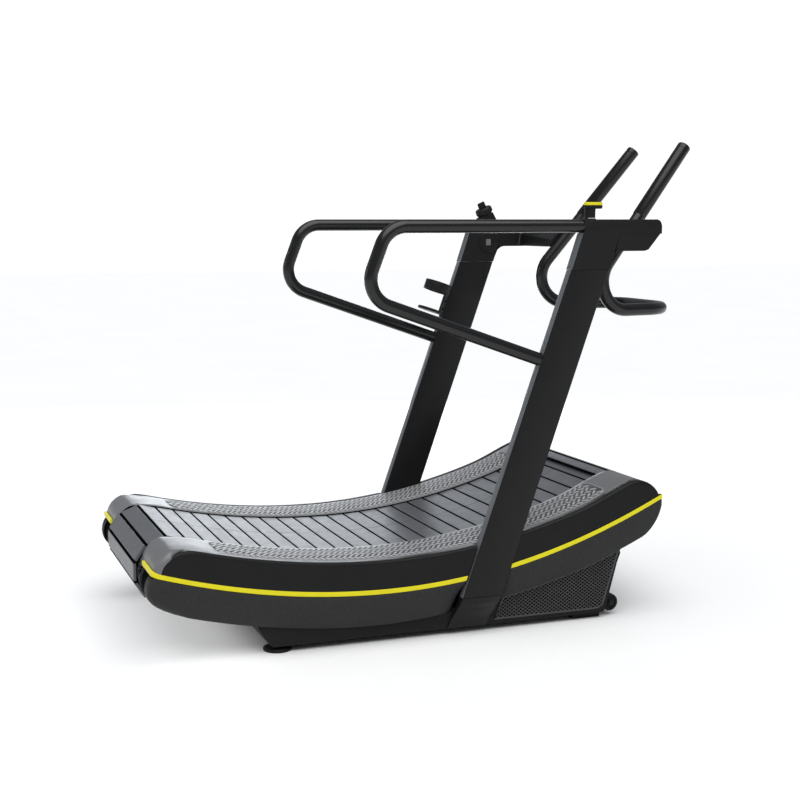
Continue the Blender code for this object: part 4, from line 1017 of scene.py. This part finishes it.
def make_recess(word, side):
    """Painted shade: a near-black block stands for the shadowed recess between the belt and the rounded rear of the
    pod; with its thin grey lip.
    """
    bm = bmesh.new()
    inner = [(x + 0.0075, z) for x, z in REAR_WALL]
    add_loft(bm, [[(x, side * 0.3120, z) for x, z in inner] + [(x + 0.004, side * 0.3120, z) for x, z in reversed(inner)],
                  [(x, side * 0.4060, z) for x, z in inner] + [(x + 0.004, side * 0.4060, z) for x, z in reversed(inner)]])
    place(bm, "pod_recess_shade_" + word, PAINTED_SHADE, smooth=40)
    bm = bmesh.new()
    path = [end_point(REAR_END, t) for t in spaced(176, 182, 2)] + REAR_WALL
    rings = []
    for x, z in path[2:]:
        rings.append([(x, side * 0.3060, z), (x, side * 0.3105, z), (x + 0.0035, side * 0.3125, z), (x + 0.020, side * 0.3125, z),
                      (x + 0.020, side * 0.3060, z)])
    add_loft(bm, rings)
    place(bm, "pod_lip_" + word, DARK, smooth=40)


for word, side in (("left", 1), ("right", -1)):
    for rear in (True, False):
        make_upper(word, side, rear)
        make_strip(word, side, rear)
        make_lower(word, side, rear)
    make_recess(word, side)


# ================================================================ base: grille, feet, wheels, pads
def inside(poly, x, z):
    hit = False
    for i in range(len(poly)):
        (x1, z1), (x2, z2) = poly[i], poly[i - 1]
        if (z1 > z) != (z2 > z) and x < (x2 - x1) * (z - z1) / (z2 - z1) + x1:
            hit = not hit
    return hit


def make_grille(word, side):
    """Expanded-metal sheet: two sets of slanted strands inside a flat border."""
    outline = ([(0.1405, 0.0335), (0.5000, 0.0335), (0.5140, 0.0360), (0.5300, 0.0450)]
               + [(x, pod_bottom(x) - 0.0025) for x in spaced(0.5870, 0.1690, 16)])
    bm = bmesh.new()
    y_in, y_out = SKIRT_OUT + 0.0005, SKIRT_OUT + 0.0026
    half = 0.00145
    step = 0.0118
    for slant, y0, y1 in ((0.62, y_in, y_out), (-0.62, y_in + 0.0002, y_out - 0.0002)):
        ux, uz = math.cos(slant), math.sin(slant)
        px, pz = -uz, ux
        spread = 2 * step * math.sin(abs(slant)) * 0.90
        for k in range(-80, 81):
            cx, cz = 0.36 + px * k * spread / 1.35, 0.12 + pz * k * spread / 1.35
            run = None
            last = None
            for q in spaced(-0.45, 0.45, 450):
                x, z = cx + ux * q, cz + uz * q
                if inside(outline, x, z):
                    if run is None:
                        run = q
                    last = q
                elif run is not None:
                    if last - run > 0.006:
                        a, b = (cx + ux * run, cz + uz * run), (cx + ux * last, cz + uz * last)
                        ring = []
                        for (ex, ez) in (a, b):
                            ring.append([(ex + px * half, side * y0, ez + pz * half), (ex + px * half * 0.7, side * y1, ez + pz * half * 0.7),
                                         (ex - px * half * 0.7, side * y1, ez - pz * half * 0.7), (ex - px * half, side * y0, ez - pz * half)])
                        add_loft(bm, ring)
                    run = None
    # painted shade: a near-black sheet behind the strands stands for the shadowed cavity
    add_prism_at = len(bm.faces)
    add_prism(bm, outline, *both(SKIRT_OUT + 0.0001, SKIRT_OUT + 0.0004, side))
    bm.faces.ensure_lookup_table()
    for face in bm.faces[add_prism_at:]:
        face.material_index = 1
    # border
    n = len(outline)
    cx = sum(p[0] for p in outline) / n
    cz = sum(p[1] for p in outline) / n
    rings = []
    for i, (x, z) in enumerate(outline):
        a, b = outline[i - 1], outline[(i + 1) % n]
        tx, tz = b[0] - a[0], b[1] - a[1]
        l = math.hypot(tx, tz)
        ix, iz = -tz / l, tx / l
        if ix * (cx - x) + iz * (cz - z) < 0:
            ix, iz = -ix, -iz
        w = 0.0055
        rings.append([(x, side * (SKIRT_OUT + 0.0004), z), (x, side * (SKIRT_OUT + 0.0030), z),
                      (x + ix * w, side * (SKIRT_OUT + 0.0030), z + iz * w), (x + ix * w, side * (SKIRT_OUT + 0.0004), z + iz * w)])
    add_loft(bm, rings, closed=True)
    return place(bm, "vent_mesh_" + word, MESH, stands_for="grille_" + word, smooth=30, extra=(PAINTED_SHADE,))


for word, side in (("left", 1), ("right", -1)):
    make_grille(word, side)
    # front pad with a moulded lip
    low, high = both(0.3560, 0.4000, side)
    bm = bmesh.new()
    add_prism(bm, fillet_profile([(0.4300, 0.0), (0.5300, 0.0), (0.5300, BASE_LOW - 0.0006), (0.4300, BASE_LOW - 0.0006)],
                                 [0.003, 0.003, 0.002, 0.002]), low, high)
    place(bm, "pad_" + word, RUBBER, stands_for="front_pad_" + word, bevel=0.0015)
    # levelling foot
    bm = bmesh.new()
    add_lathe(bm, [(0, 0), (0.0425, 0), (0.0440, 0.0015), (0.0440, 0.0060), (0.0425, 0.0078), (0.0385, 0.0100), (0.0200, 0.0122),
                   (0.0110, 0.0136), (0.0110, 0.0150), (0.0060, 0.0153), (0.0060, 0.0720), (0, 0.0720)],
              (FOOT_X, side * FOOT_Y, 0), (0, 0, 1), 56)
    place(bm, "foot_" + word, RUBBER, "foot_" + word, "levelling_foot_" + word, smooth=40)
    # transport wheel with a hub and two grooves
    a, b = both(0.3690, 0.4030, side)
    m = (a + b) / 2
    bm = bmesh.new()
    add_lathe(bm, [(0.0056, a + 0.001), (0.0105, a + 0.001), (0.0112, a + 0.004), (0.0205, a + 0.004), (0.0215, a), (0.0262, a),
                   (0.0280, a + 0.0012), (0.0285, a + 0.0032), (0.0285, m - 0.0052), (0.0277, m - 0.0044), (0.0277, m - 0.0030),
                   (0.0285, m - 0.0022), (0.0285, m + 0.0022), (0.0277, m + 0.0030), (0.0277, m + 0.0044), (0.0285, m + 0.0052),
                   (0.0285, b - 0.0032), (0.0280, b - 0.0012), (0.0262, b), (0.0215, b), (0.0205, b - 0.004), (0.0112, b - 0.004),
                   (0.0105, b - 0.001), (0.0056, b - 0.001)], (WHEEL_X, 0, WHEEL_Z), (0, 1, 0), 56)
    place(bm, "roller_" + word, RUBBER, "wheel_" + word, "transport_wheel_" + word, smooth=35)
    # hexagon head of the wheel pin
    bm = bmesh.new()
    y = side * 0.4082
    add_lathe(bm, [(0, 0), (0.0085, 0), (0.0085, 0.0040), (0.0075, 0.0052), (0, 0.0052)], (WHEEL_X, y - (0 if side > 0 else 0.0052), WHEEL_Z),
              (0, 1, 0), 6)
    place(bm, "wheel_bolt_" + word, COATED, smooth=20)


# ================================================================ uprights and their feet
def make_upright(word, side):
    low, high = both(UPRIGHT_IN, UPRIGHT_OUT, side)
    bm = bmesh.new()
    z0, z1 = UP_LOW + 0.0003, UP_TOP
    section = []
    rings = []
    for z in spaced(z0, z1, 40):
        r, f = up_rear(z), up_front(z)
        c = 0.0030
        rings.append([(r + c, low, z), (f - c, low, z), (f - c * 0.3, low + c * 0.3, z), (f, low + c, z), (f, high - c, z),
                      (f - c * 0.3, high - c * 0.3, z), (f - c, high, z), (r + c, high, z), (r + c * 0.3, high - c * 0.3, z),
                      (r, high - c, z), (r, low + c, z), (r + c * 0.3, low + c * 0.3, z)])
    add_loft(bm, rings)
    bm.faces.ensure_lookup_table()
    obj = place(bm, "post_" + word, COATED, stands_for="upright_" + word, smooth=50, extra=(EDGE,))
    for poly in obj.data.polygons:
        if poly.normal.x < -0.85 and abs(poly.normal.y) < 0.3:
            poly.material_index = 1
    return obj


def make_post_foot(word, side):
    bm = bmesh.new()
    top = UP_LOW - 0.0012
    rings = []
    keys = [(0.0205, 0.4250, 0.4212), (0.045, 0.4300, 0.4212), (0.085, 0.4500, 0.4300), (0.105, 0.4620, 0.4310), (top, UPRIGHT_OUT, UPRIGHT_IN)]
    zs = spaced(0.0205, top, 24)
    for z in zs:
        for (a, o1, i1), (b, o2, i2) in zip(keys, keys[1:]):
            if z <= b + 1e-9:
                u = ease((z - a) / (b - a)) * 0.5 + 0.5 * (z - a) / (b - a)
                out, inn = o1 + (o2 - o1) * u, i1 + (i2 - i1) * u
                break
        r, f, c = up_rear(z), up_front(z), 0.0018
        rings.append([(r + c, side * inn, z), (f - c, side * inn, z), (f, side * (inn + 0.001), z), (f, side * (out - c), z),
                      (f - c, side * out, z), (r + c, side * out, z), (r, side * (out - c), z), (r, side * (inn + 0.001), z)])
    add_loft(bm, rings)
    return place(bm, "post_foot_" + word, COATED, stands_for="upright_foot_" + word, smooth=50)


# ================================================================ heads, arms
def push_axis(z, side):
    return Vector((PUSH_X + PUSH_DX * (z - PUSH_Z), side * (PUSH_W + PUSH_DW * (z - PUSH_Z)), z))


def make_head(word, side):
    """Top casting: flat cheek below, and above it a rail with a rounded back that carries on to the rounded nose."""
    low, high = both(HEAD_IN, HEAD_OUT, side)
    foot = UP_TOP + 0.0010
    bm = bmesh.new()
    outline = fillet_profile(
        [(up_rear(foot), foot), (up_front(foot), foot), (0.5112, 1.1560), (0.5232, 1.1840), (0.5232, ARM_LOW),
         (0.5412, ARM_SPLIT - 0.0030), (ARM_FRONT, ARM_SPLIT - 0.0030), (ARM_FRONT, HEAD_TOP), (0.4165, HEAD_TOP), (0.4165, ARM_SPLIT),
         (0.4120, ARM_SPLIT)],
        [0, 0, 0.010, 0.010, 0, 0, 0, 0.018, 0, 0, 0], 7)
    add_prism(bm, outline, low, high)
    bm.edges.ensure_lookup_table()
    soft = []
    for e in bm.edges:
        a, b = e.verts
        along = abs(a.co.y - b.co.y) < 1e-6
        nose = min(a.co.x, b.co.x) > ARM_FRONT - 0.03 and min(a.co.z, b.co.z) > ARM_SPLIT + 0.012
        if along and ((min(a.co.z, b.co.z) > HEAD_TOP - 1e-4) or nose):
            soft.append(e)
    bmesh.ops.bevel(bm, geom=soft, offset=0.0135, segments=7, profile=0.5, affect="EDGES", clamp_overlap=True)
    obj = place(bm, "head_casting_" + word, PLASTIC, stands_for="head_" + word, bevel=0.0012, segments=2, extra=(EDGE,), smooth=42)
    obj.modifiers["soft_edges"].angle_limit = math.radians(55)
    for poly in obj.data.polygons:
        if poly.normal.x < -0.85 and abs(poly.normal.y) < 0.3 and poly.center.z < ARM_SPLIT:
            poly.material_index = 1
    return obj


def make_arm(word, side):
    low, high = both(HEAD_IN + 0.0010, HEAD_OUT - 0.0010, side)
    top = ARM_SPLIT - 0.0008
    bm = bmesh.new()
    add_prism(bm, fillet_profile([(0.5240, 1.1850), (0.5380, 1.1955), (0.5505, ARM_LOW), (0.6310, ARM_LOW), (0.6450, 1.2030),
                                  (0.6885, top), (0.5422, top)], [0, 0.006, 0.006, 0.010, 0.012, 0.002, 0]), low, high)
    obj = place(bm, "arm_" + word, PLASTIC, stands_for="arm_cover_" + word, bevel=0.0030, segments=3)
    bm = bmesh.new()
    root = [(0.6250, 1.1990), (0.6300, 1.1990), (0.6430, 1.2045), (0.6850, 1.2535), (0.6700, 1.2535), (0.6250, 1.2440)]
    tip = [(0.6400, 1.1990), (0.7010, 1.1990), (0.7080, 1.2060), (0.7680, 1.2830), (0.7000, 1.2830), (0.6400, 1.2237)]
    rings = []
    for u in spaced(0, 1, 16):
        e = u
        ring = []
        for (xa, za), (xb, zb) in zip(root, tip):
            x, z = xa + (xb - xa) * e, za + (zb - za) * e
            y_tip = abs(push_axis(zb, 1).y) + 0.0060
            ring.append((x, side * (0.4400 + (y_tip - 0.4400) * u), z))
        rings.append(ring)
    add_loft(bm, rings)
    place(bm, "arm_gusset_" + word, PLASTIC, bevel=0.0035, segments=3)
    # parting line on the inner face of the arm
    bm = bmesh.new()
    y = side * (HEAD_IN + 0.0009)
    add_prism(bm, [(0.6100, ARM_LOW + 0.004), (0.6116, ARM_LOW + 0.004), (0.6190, top - 0.004), (0.6174, top - 0.004)],
              *sorted((y, y - side * 0.0006)))
    place(bm, "arm_parting_" + word, EDGE, smooth=30)
    return obj


def make_boss(word, side):
    """Round boss with a plain square plate on the inner face of the head."""
    bm = bmesh.new()
    centre = (0.4845, side * HEAD_IN, 1.2135)
    inward = (0, -side, 0)
    add_lathe(bm, [(0, -0.001), (0.0385, -0.001), (0.0385, 0.0016), (0.0372, 0.0028), (0.0345, 0.0030), (0.0335, 0.0020), (0.0300, 0.0020),
                   (0.0290, 0.0032), (0.0270, 0.0036), (0, 0.0036)], centre, inward, 64)
    place(bm, "head_boss_" + word, PLASTIC, smooth=30)
    bm = bmesh.new()
    x, _, z = centre
    y = side * (HEAD_IN - 0.0036)
    add_prism(bm, fillet_profile([(x - 0.0095, z - 0.0115), (x + 0.0095, z - 0.0115), (x + 0.0095, z + 0.0115), (x - 0.0095, z + 0.0115)],
                                 [0.002] * 4), *sorted((y, y - side * 0.0009)))
    place(bm, "head_plate_" + word, PLATE, bevel=0.0003, segments=2)


for word, side in (("left", 1), ("right", -1)):
    make_upright(word, side)
    make_post_foot(word, side)
    make_head(word, side)
    make_arm(word, side)
    make_boss(word, side)


# ================================================================ handrails, push bar, grips
def make_handrail(word, side):
    y = side * RAIL_Y
    low_z, slant, start_x = 1.0690, -LEAN, -0.3064
    x = (low_z - slant * start_x + UP_REAR / LEAN) / (1 / LEAN - slant)
    z = low_z + slant * (x - start_x)
    square = Vector((1, 0, slant)).normalized()
    end = Vector((x, y, z)) - square * 0.0004
    path = rounded([(0.4185, y, RAIL_Z), (-0.2267, y, RAIL_Z), (start_x, y, low_z), end], [0.085, 0.085], 22)
    bm = bmesh.new()
    add_pipe(bm, path, RAIL_R, 40)
    # collar at the foot
    add_lathe(bm, [(RAIL_R, -0.0025), (RAIL_R + 0.0012, -0.0020), (RAIL_R + 0.0012, 0.0), (RAIL_R, 0.0)], end, square, 40)
    return place(bm, "hand_rail_" + word, TUBE, stands_for="handrail_" + word, smooth=40)


def make_push_bar():
    tip, low = PUSH_TIP_Z - 0.004, PUSH_LOW_Z
    foot = push_axis(low, 1)
    corners = [push_axis(tip, -1), Vector((foot.x, -foot.y, low)), Vector((PUSH_FRONT_X, -PUSH_FRONT_W, low)),
               Vector((PUSH_FRONT_X, PUSH_FRONT_W, low)), Vector((foot.x, foot.y, low)), push_axis(tip, 1)]
    bm = bmesh.new()
    add_pipe(bm, rounded(corners, [PUSH_BEND, PUSH_FRONT_R, PUSH_FRONT_R, PUSH_BEND], 24), PUSH_R, 40)
    return place(bm, "push_frame", TUBE, stands_for="push_bar", smooth=40)


def make_grip(word, side):
    base, tip = push_axis(1.3080, side), push_axis(PUSH_TIP_Z, side)
    length = (tip - base).length
    inner, r = PUSH_R + 0.0002, GRIP_R
    cap = length - 0.0200
    profile = [(inner, 0.0), (r - 0.0008, 0.0), (r, 0.0012), (r, cap - 0.0006), (r - 0.0010, cap), (r - 0.0010, cap + 0.0012), (r, cap + 0.0018)]
    for t in spaced(0, 90, 8):
        profile.append((r - 0.0075 + 0.0075 * math.cos(math.radians(t)), length - 0.0055 + 0.0055 * math.sin(math.radians(t))))
    profile += [(0, length), (0, length - 0.0035), (inner, length - 0.0035)]
    bm = bmesh.new()
    add_lathe(bm, profile, base, tip - base, 48)
    return place(bm, "hand_grip_" + word, GRIP, stands_for="grip_" + word, smooth=35)


for word, side in (("left", 1), ("right", -1)):
    make_handrail(word, side)
    make_grip(word, side)
make_push_bar()

# ================================================================ bottle holder
UPRIGHT_DIR = Vector((LEAN, 0, 1)).normalized()
BACKWARDS = Vector((-1, 0, LEAN)).normalized()


def make_bottle_holder():
    root = Vector((up_rear(1.0140), 0.4400, 1.0140))
    middle = Vector((0, 0.4140 - root.y, 0))
    hoop_c = root + BACKWARDS * 0.0600 + middle
    bm = bmesh.new()
    add_lathe(bm, fillet_profile([(0.0463, 0.0), (0.0500, 0.0), (0.0500, 0.0350), (0.0463, 0.0350)], [0.0014] * 4, 3), hoop_c, UPRIGHT_DIR, 72)
    add_lathe(bm, [(0, 0.0004), (0.0455, 0.0004), (0.0478, 0.0016), (0.0480, 0.0040), (0.0480, 0.0086), (0.0468, 0.0100), (0.0440, 0.0100),
                   (0.0430, 0.0088), (0, 0.0088)], hoop_c - UPRIGHT_DIR * 0.0760, UPRIGHT_DIR, 72)

    def bar(low, high, near, far, half):
        rings = []
        for along in spaced(low, high, 8):
            p = root + UPRIGHT_DIR * along
            a, b = p + BACKWARDS * near, p + BACKWARDS * far
            w, c = half, min(0.0012, half * 0.3)
            inn = BACKWARDS * min(0.0010, (far - near) * 0.3)
            rings.append([a - Vector((0, w, 0)), a + Vector((0, w, 0)), b - inn + Vector((0, w, 0)), b + Vector((0, w - c, 0)),
                          b - Vector((0, w - c, 0)), b - inn - Vector((0, w, 0))])
        add_loft(bm, rings)

    bar(-0.0800, 0.0380, 0.0004, 0.0052, 0.0140)
    bar(0.0040, 0.0320, 0.0040, 0.0160, 0.0110)
    bar(-0.0745, -0.0675, 0.0040, 0.0200, 0.0120)
    bar(-0.0700, 0.0060, 0.0125, 0.0160, 0.0060)
    # two screws through the back plate
    for along in (-0.0500, -0.0200):
        p = root + UPRIGHT_DIR * along + BACKWARDS * 0.0052
        add_lathe(bm, [(0, -0.001), (0.0045, -0.001), (0.0045, 0.0018), (0.0036, 0.0028), (0, 0.0028)], p, BACKWARDS, 20)
    return place(bm, "drink_holder", PLASTIC, stands_for="bottle_holder", smooth=38)


make_bottle_holder()

# ================================================================ selector knob and mode dial
KNOB_X, KNOB_Y, KNOB_LOW = 0.4440, -RAIL_Y, 1.3014


def make_selector():
    bm = bmesh.new()
    add_lathe(bm, [(0, 0.0004), (0.0160, 0.0004), (0.0168, 0.0012), (0.0168, 0.0200), (0.0172, 0.0270), (0.0185, 0.0300), (0, 0.0300)],
              (KNOB_X, KNOB_Y, KNOB_LOW), (0, 0, 1), 48)
    z = KNOB_LOW + 0.0290

    def oval(scale):
        return [(KNOB_X + 0.0107 + 0.0312 * scale * math.cos(t), KNOB_Y + 0.0198 * scale * math.sin(t))
                for t in spaced(0, math.tau, 60)[:-1]]

    rings = [[(x, y, zz) for x, y in oval(s)] for zz, s in ((z, 0.86), (z + 0.0008, 0.93), (z + 0.0024, 0.985), (z + 0.0042, 1.0),
                                                          (z + 0.0100, 1.0), (z + 0.0110, 0.992))]
    add_loft(bm, rings)
    place(bm, "selector_paddle", RUBBER, "selector", "selector_knob", smooth=40)
    bm = bmesh.new()
    rings = [[(x, y, zz) for x, y in oval(s)] for zz, s in ((z + 0.0113, 0.992), (z + 0.0122, 1.0), (z + 0.0165, 1.0), (z + 0.0185, 0.985),
                                                          (z + 0.0198, 0.955), (z + 0.0204, 0.90))]
    add_loft(bm, rings)
    place(bm, "selector_cap", YELLOW, "selector", "knob_cap", smooth=40)
    # boss under it, on the head
    bm = bmesh.new()
    add_lathe(bm, [(0, -0.012), (0.0188, -0.012), (0.0188, 0.0006), (0.0178, 0.0016), (0, 0.0016)], (KNOB_X, KNOB_Y, 1.2992), (0, 0, 1), 48)
    place(bm, "selector_collar", PLASTIC, smooth=35)


DIAL_DIR = Vector((-0.42, 0, 0.9075)).normalized()


def make_dial():
    seat = Vector((0.4775, DIAL_Y, 1.3150)) + DIAL_DIR * 0.0025
    bm = bmesh.new()
    profile = [(0, 0), (0.0262, 0), (0.0274, 0.0010), (0.0298, 0.0042), (0.0300, 0.0060), (0.0300, 0.0138), (0.0292, 0.0158), (0.0262, 0.0186),
               (0.0250, 0.0190), (0.0236, 0.0182), (0, 0.0182)]
    made = add_lathe(bm, [(r * 1.06, h * 1.25) for r, h in profile], seat, DIAL_DIR, 72)
    # shallow finger grooves round the rim
    for k, ring in enumerate(made):
        if (k // 3) % 2 == 0:
            for j in (4, 5, 6):
                v = ring[j]
                axis_point = seat + DIAL_DIR * (v.co - seat).dot(DIAL_DIR)
                v.co = axis_point + (v.co - axis_point) * 0.965
    side = Vector((0, 1, 0))
    along = side.cross(DIAL_DIR).normalized()
    rings = []
    for h, wide, thick in ((0.0180, 0.0150, 0.0052), (0.0320, 0.0146, 0.0048), (0.0420, 0.0142, 0.0044), (0.0452, 0.0130, 0.0034), (0.0460, 0.0114, 0.0020)):
        c = seat + DIAL_DIR * h
        ring = []
        for t in spaced(0, math.tau, 24)[:-1]:
            ct, st = math.cos(t), math.sin(t)
            sq = lambda v: (abs(v) ** 0.45) * (1 if v > 0 else -1)
            ring.append(c + along * wide * sq(ct) + side * thick * sq(st))
        rings.append(ring)
    add_loft(bm, rings)
    place(bm, "mode_selector", PLASTIC, "mode_dial_turning", "mode_dial", smooth=32)
    # wedge-shaped seat on the head
    bm = bmesh.new()
    add_prism(bm, fillet_profile([(0.4480, 1.2900), (0.5140, 1.2900), (0.5140, 1.2990), (0.4990, 1.3250), (0.4560, 1.3050), (0.4480, 1.2990)],
                                 [0, 0, 0.003, 0.003, 0.003, 0.003]), DIAL_Y - 0.0195, DIAL_Y + 0.0195)
    place(bm, "dial_seat", PLASTIC, bevel=0.0015)


make_selector()
make_dial()

# ================================================================ floor, lights, camera
bm = bmesh.new()
corners = [bm.verts.new(p) for p in ((-30, -30, 0), (30, -30, 0), (30, 30, 0), (-30, 30, 0))]
bm.faces.new(corners)
mesh = bpy.data.meshes.new("floor")
bm.to_mesh(mesh)
bm.free()
floor = bpy.data.objects.new("floor", mesh)
floor.location = (0, 0, -0.0004)
bpy.context.scene.collection.objects.link(floor)
paper = surface("studio_floor", (0.90, 0.90, 0.90), 0.01, 1.0, 0.9, 0.02, 50.0, 0.02, 0.0001, specular=0.0)
mesh.materials.append(paper)
floor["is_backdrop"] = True

world = bpy.data.worlds.new("studio")
bpy.context.scene.world = world
world.use_nodes = True
wt = world.node_tree
wt.nodes.clear()
out = wt.nodes.new("ShaderNodeOutputWorld")
path_info = wt.nodes.new("ShaderNodeLightPath")
seen = wt.nodes.new("ShaderNodeBackground")
seen.inputs["Color"].default_value = (1, 1, 1, 1)
seen.inputs["Strength"].default_value = 1.05
light = wt.nodes.new("ShaderNodeBackground")
light.inputs["Color"].default_value = (0.93, 0.96, 1.0, 1)
light.inputs["Strength"].default_value = 0.30
mixer = wt.nodes.new("ShaderNodeMixShader")
wt.links.new(path_info.outputs["Is Camera Ray"], mixer.inputs["Fac"])
wt.links.new(light.outputs["Background"], mixer.inputs[1])
wt.links.new(seen.outputs["Background"], mixer.inputs[2])
wt.links.new(mixer.outputs["Shader"], out.inputs["Surface"])


def area(name, place_at, aim, size, power, colour=(1, 1, 1)):
    data = bpy.data.lights.new(name, "AREA")
    data.shape = "RECTANGLE"
    data.size, data.size_y = size
    data.energy = power
    data.color = colour
    obj = bpy.data.objects.new(name, data)
    obj.location = place_at
    obj.rotation_mode = "QUATERNION"
    obj.rotation_quaternion = (Vector(aim) - Vector(place_at)).to_track_quat("-Z", "Y")
    bpy.context.scene.collection.objects.link(obj)
    return obj


sun_data = bpy.data.lights.new("soft_top", "SUN")
sun_data.energy = 2.75
sun_data.angle = math.radians(70)
sun = bpy.data.objects.new("soft_top", sun_data)
sun.rotation_euler = (math.radians(22), math.radians(-6), 0)
bpy.context.scene.collection.objects.link(sun)
for lamp in (area("behind", (1.3, 5.0, 0.95), (0.1, 0, 0.35), (2.8, 1.2), 52, (0.90, 0.95, 1.0)),
             area("rear_side", (-4.8, 1.4, 2.3), (-0.4, 0, 0.4), (2.2, 1.6), 14),
             area("front_fill", (-0.6, -4.6, 3.6), (0.1, 0, 0.5), (3.4, 1.2), 12),
             area("below_rear", (-0.76, -0.05, 0.105), (-0.76, -0.05, 0.0), (0.34, 0.86), 0.50)):
    lamp.visible_camera = False

cam_data = bpy.data.cameras.new("camera")
cam = bpy.data.objects.new("camera", cam_data)
bpy.context.scene.collection.objects.link(cam)
yaw, pitch = math.radians(20.26), math.radians(7.484)
forward = Vector((math.sin(yaw) * math.cos(pitch), math.cos(yaw) * math.cos(pitch), -math.sin(pitch)))
cam.location = (-1.6382 + CX, -4.3654, 1.2969)
cam.rotation_mode = "QUATERNION"
cam.rotation_quaternion = forward.to_track_quat("-Z", "Y")
cam_data.sensor_width = 36.0
cam_data.lens = 62.76
cam_data.shift_x, cam_data.shift_y = 0.00134, 0.0035
cam_data.clip_end = 200.0
bpy.context.scene.camera = cam
bpy.context.scene.view_settings.view_transform = "Standard"

low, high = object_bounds()
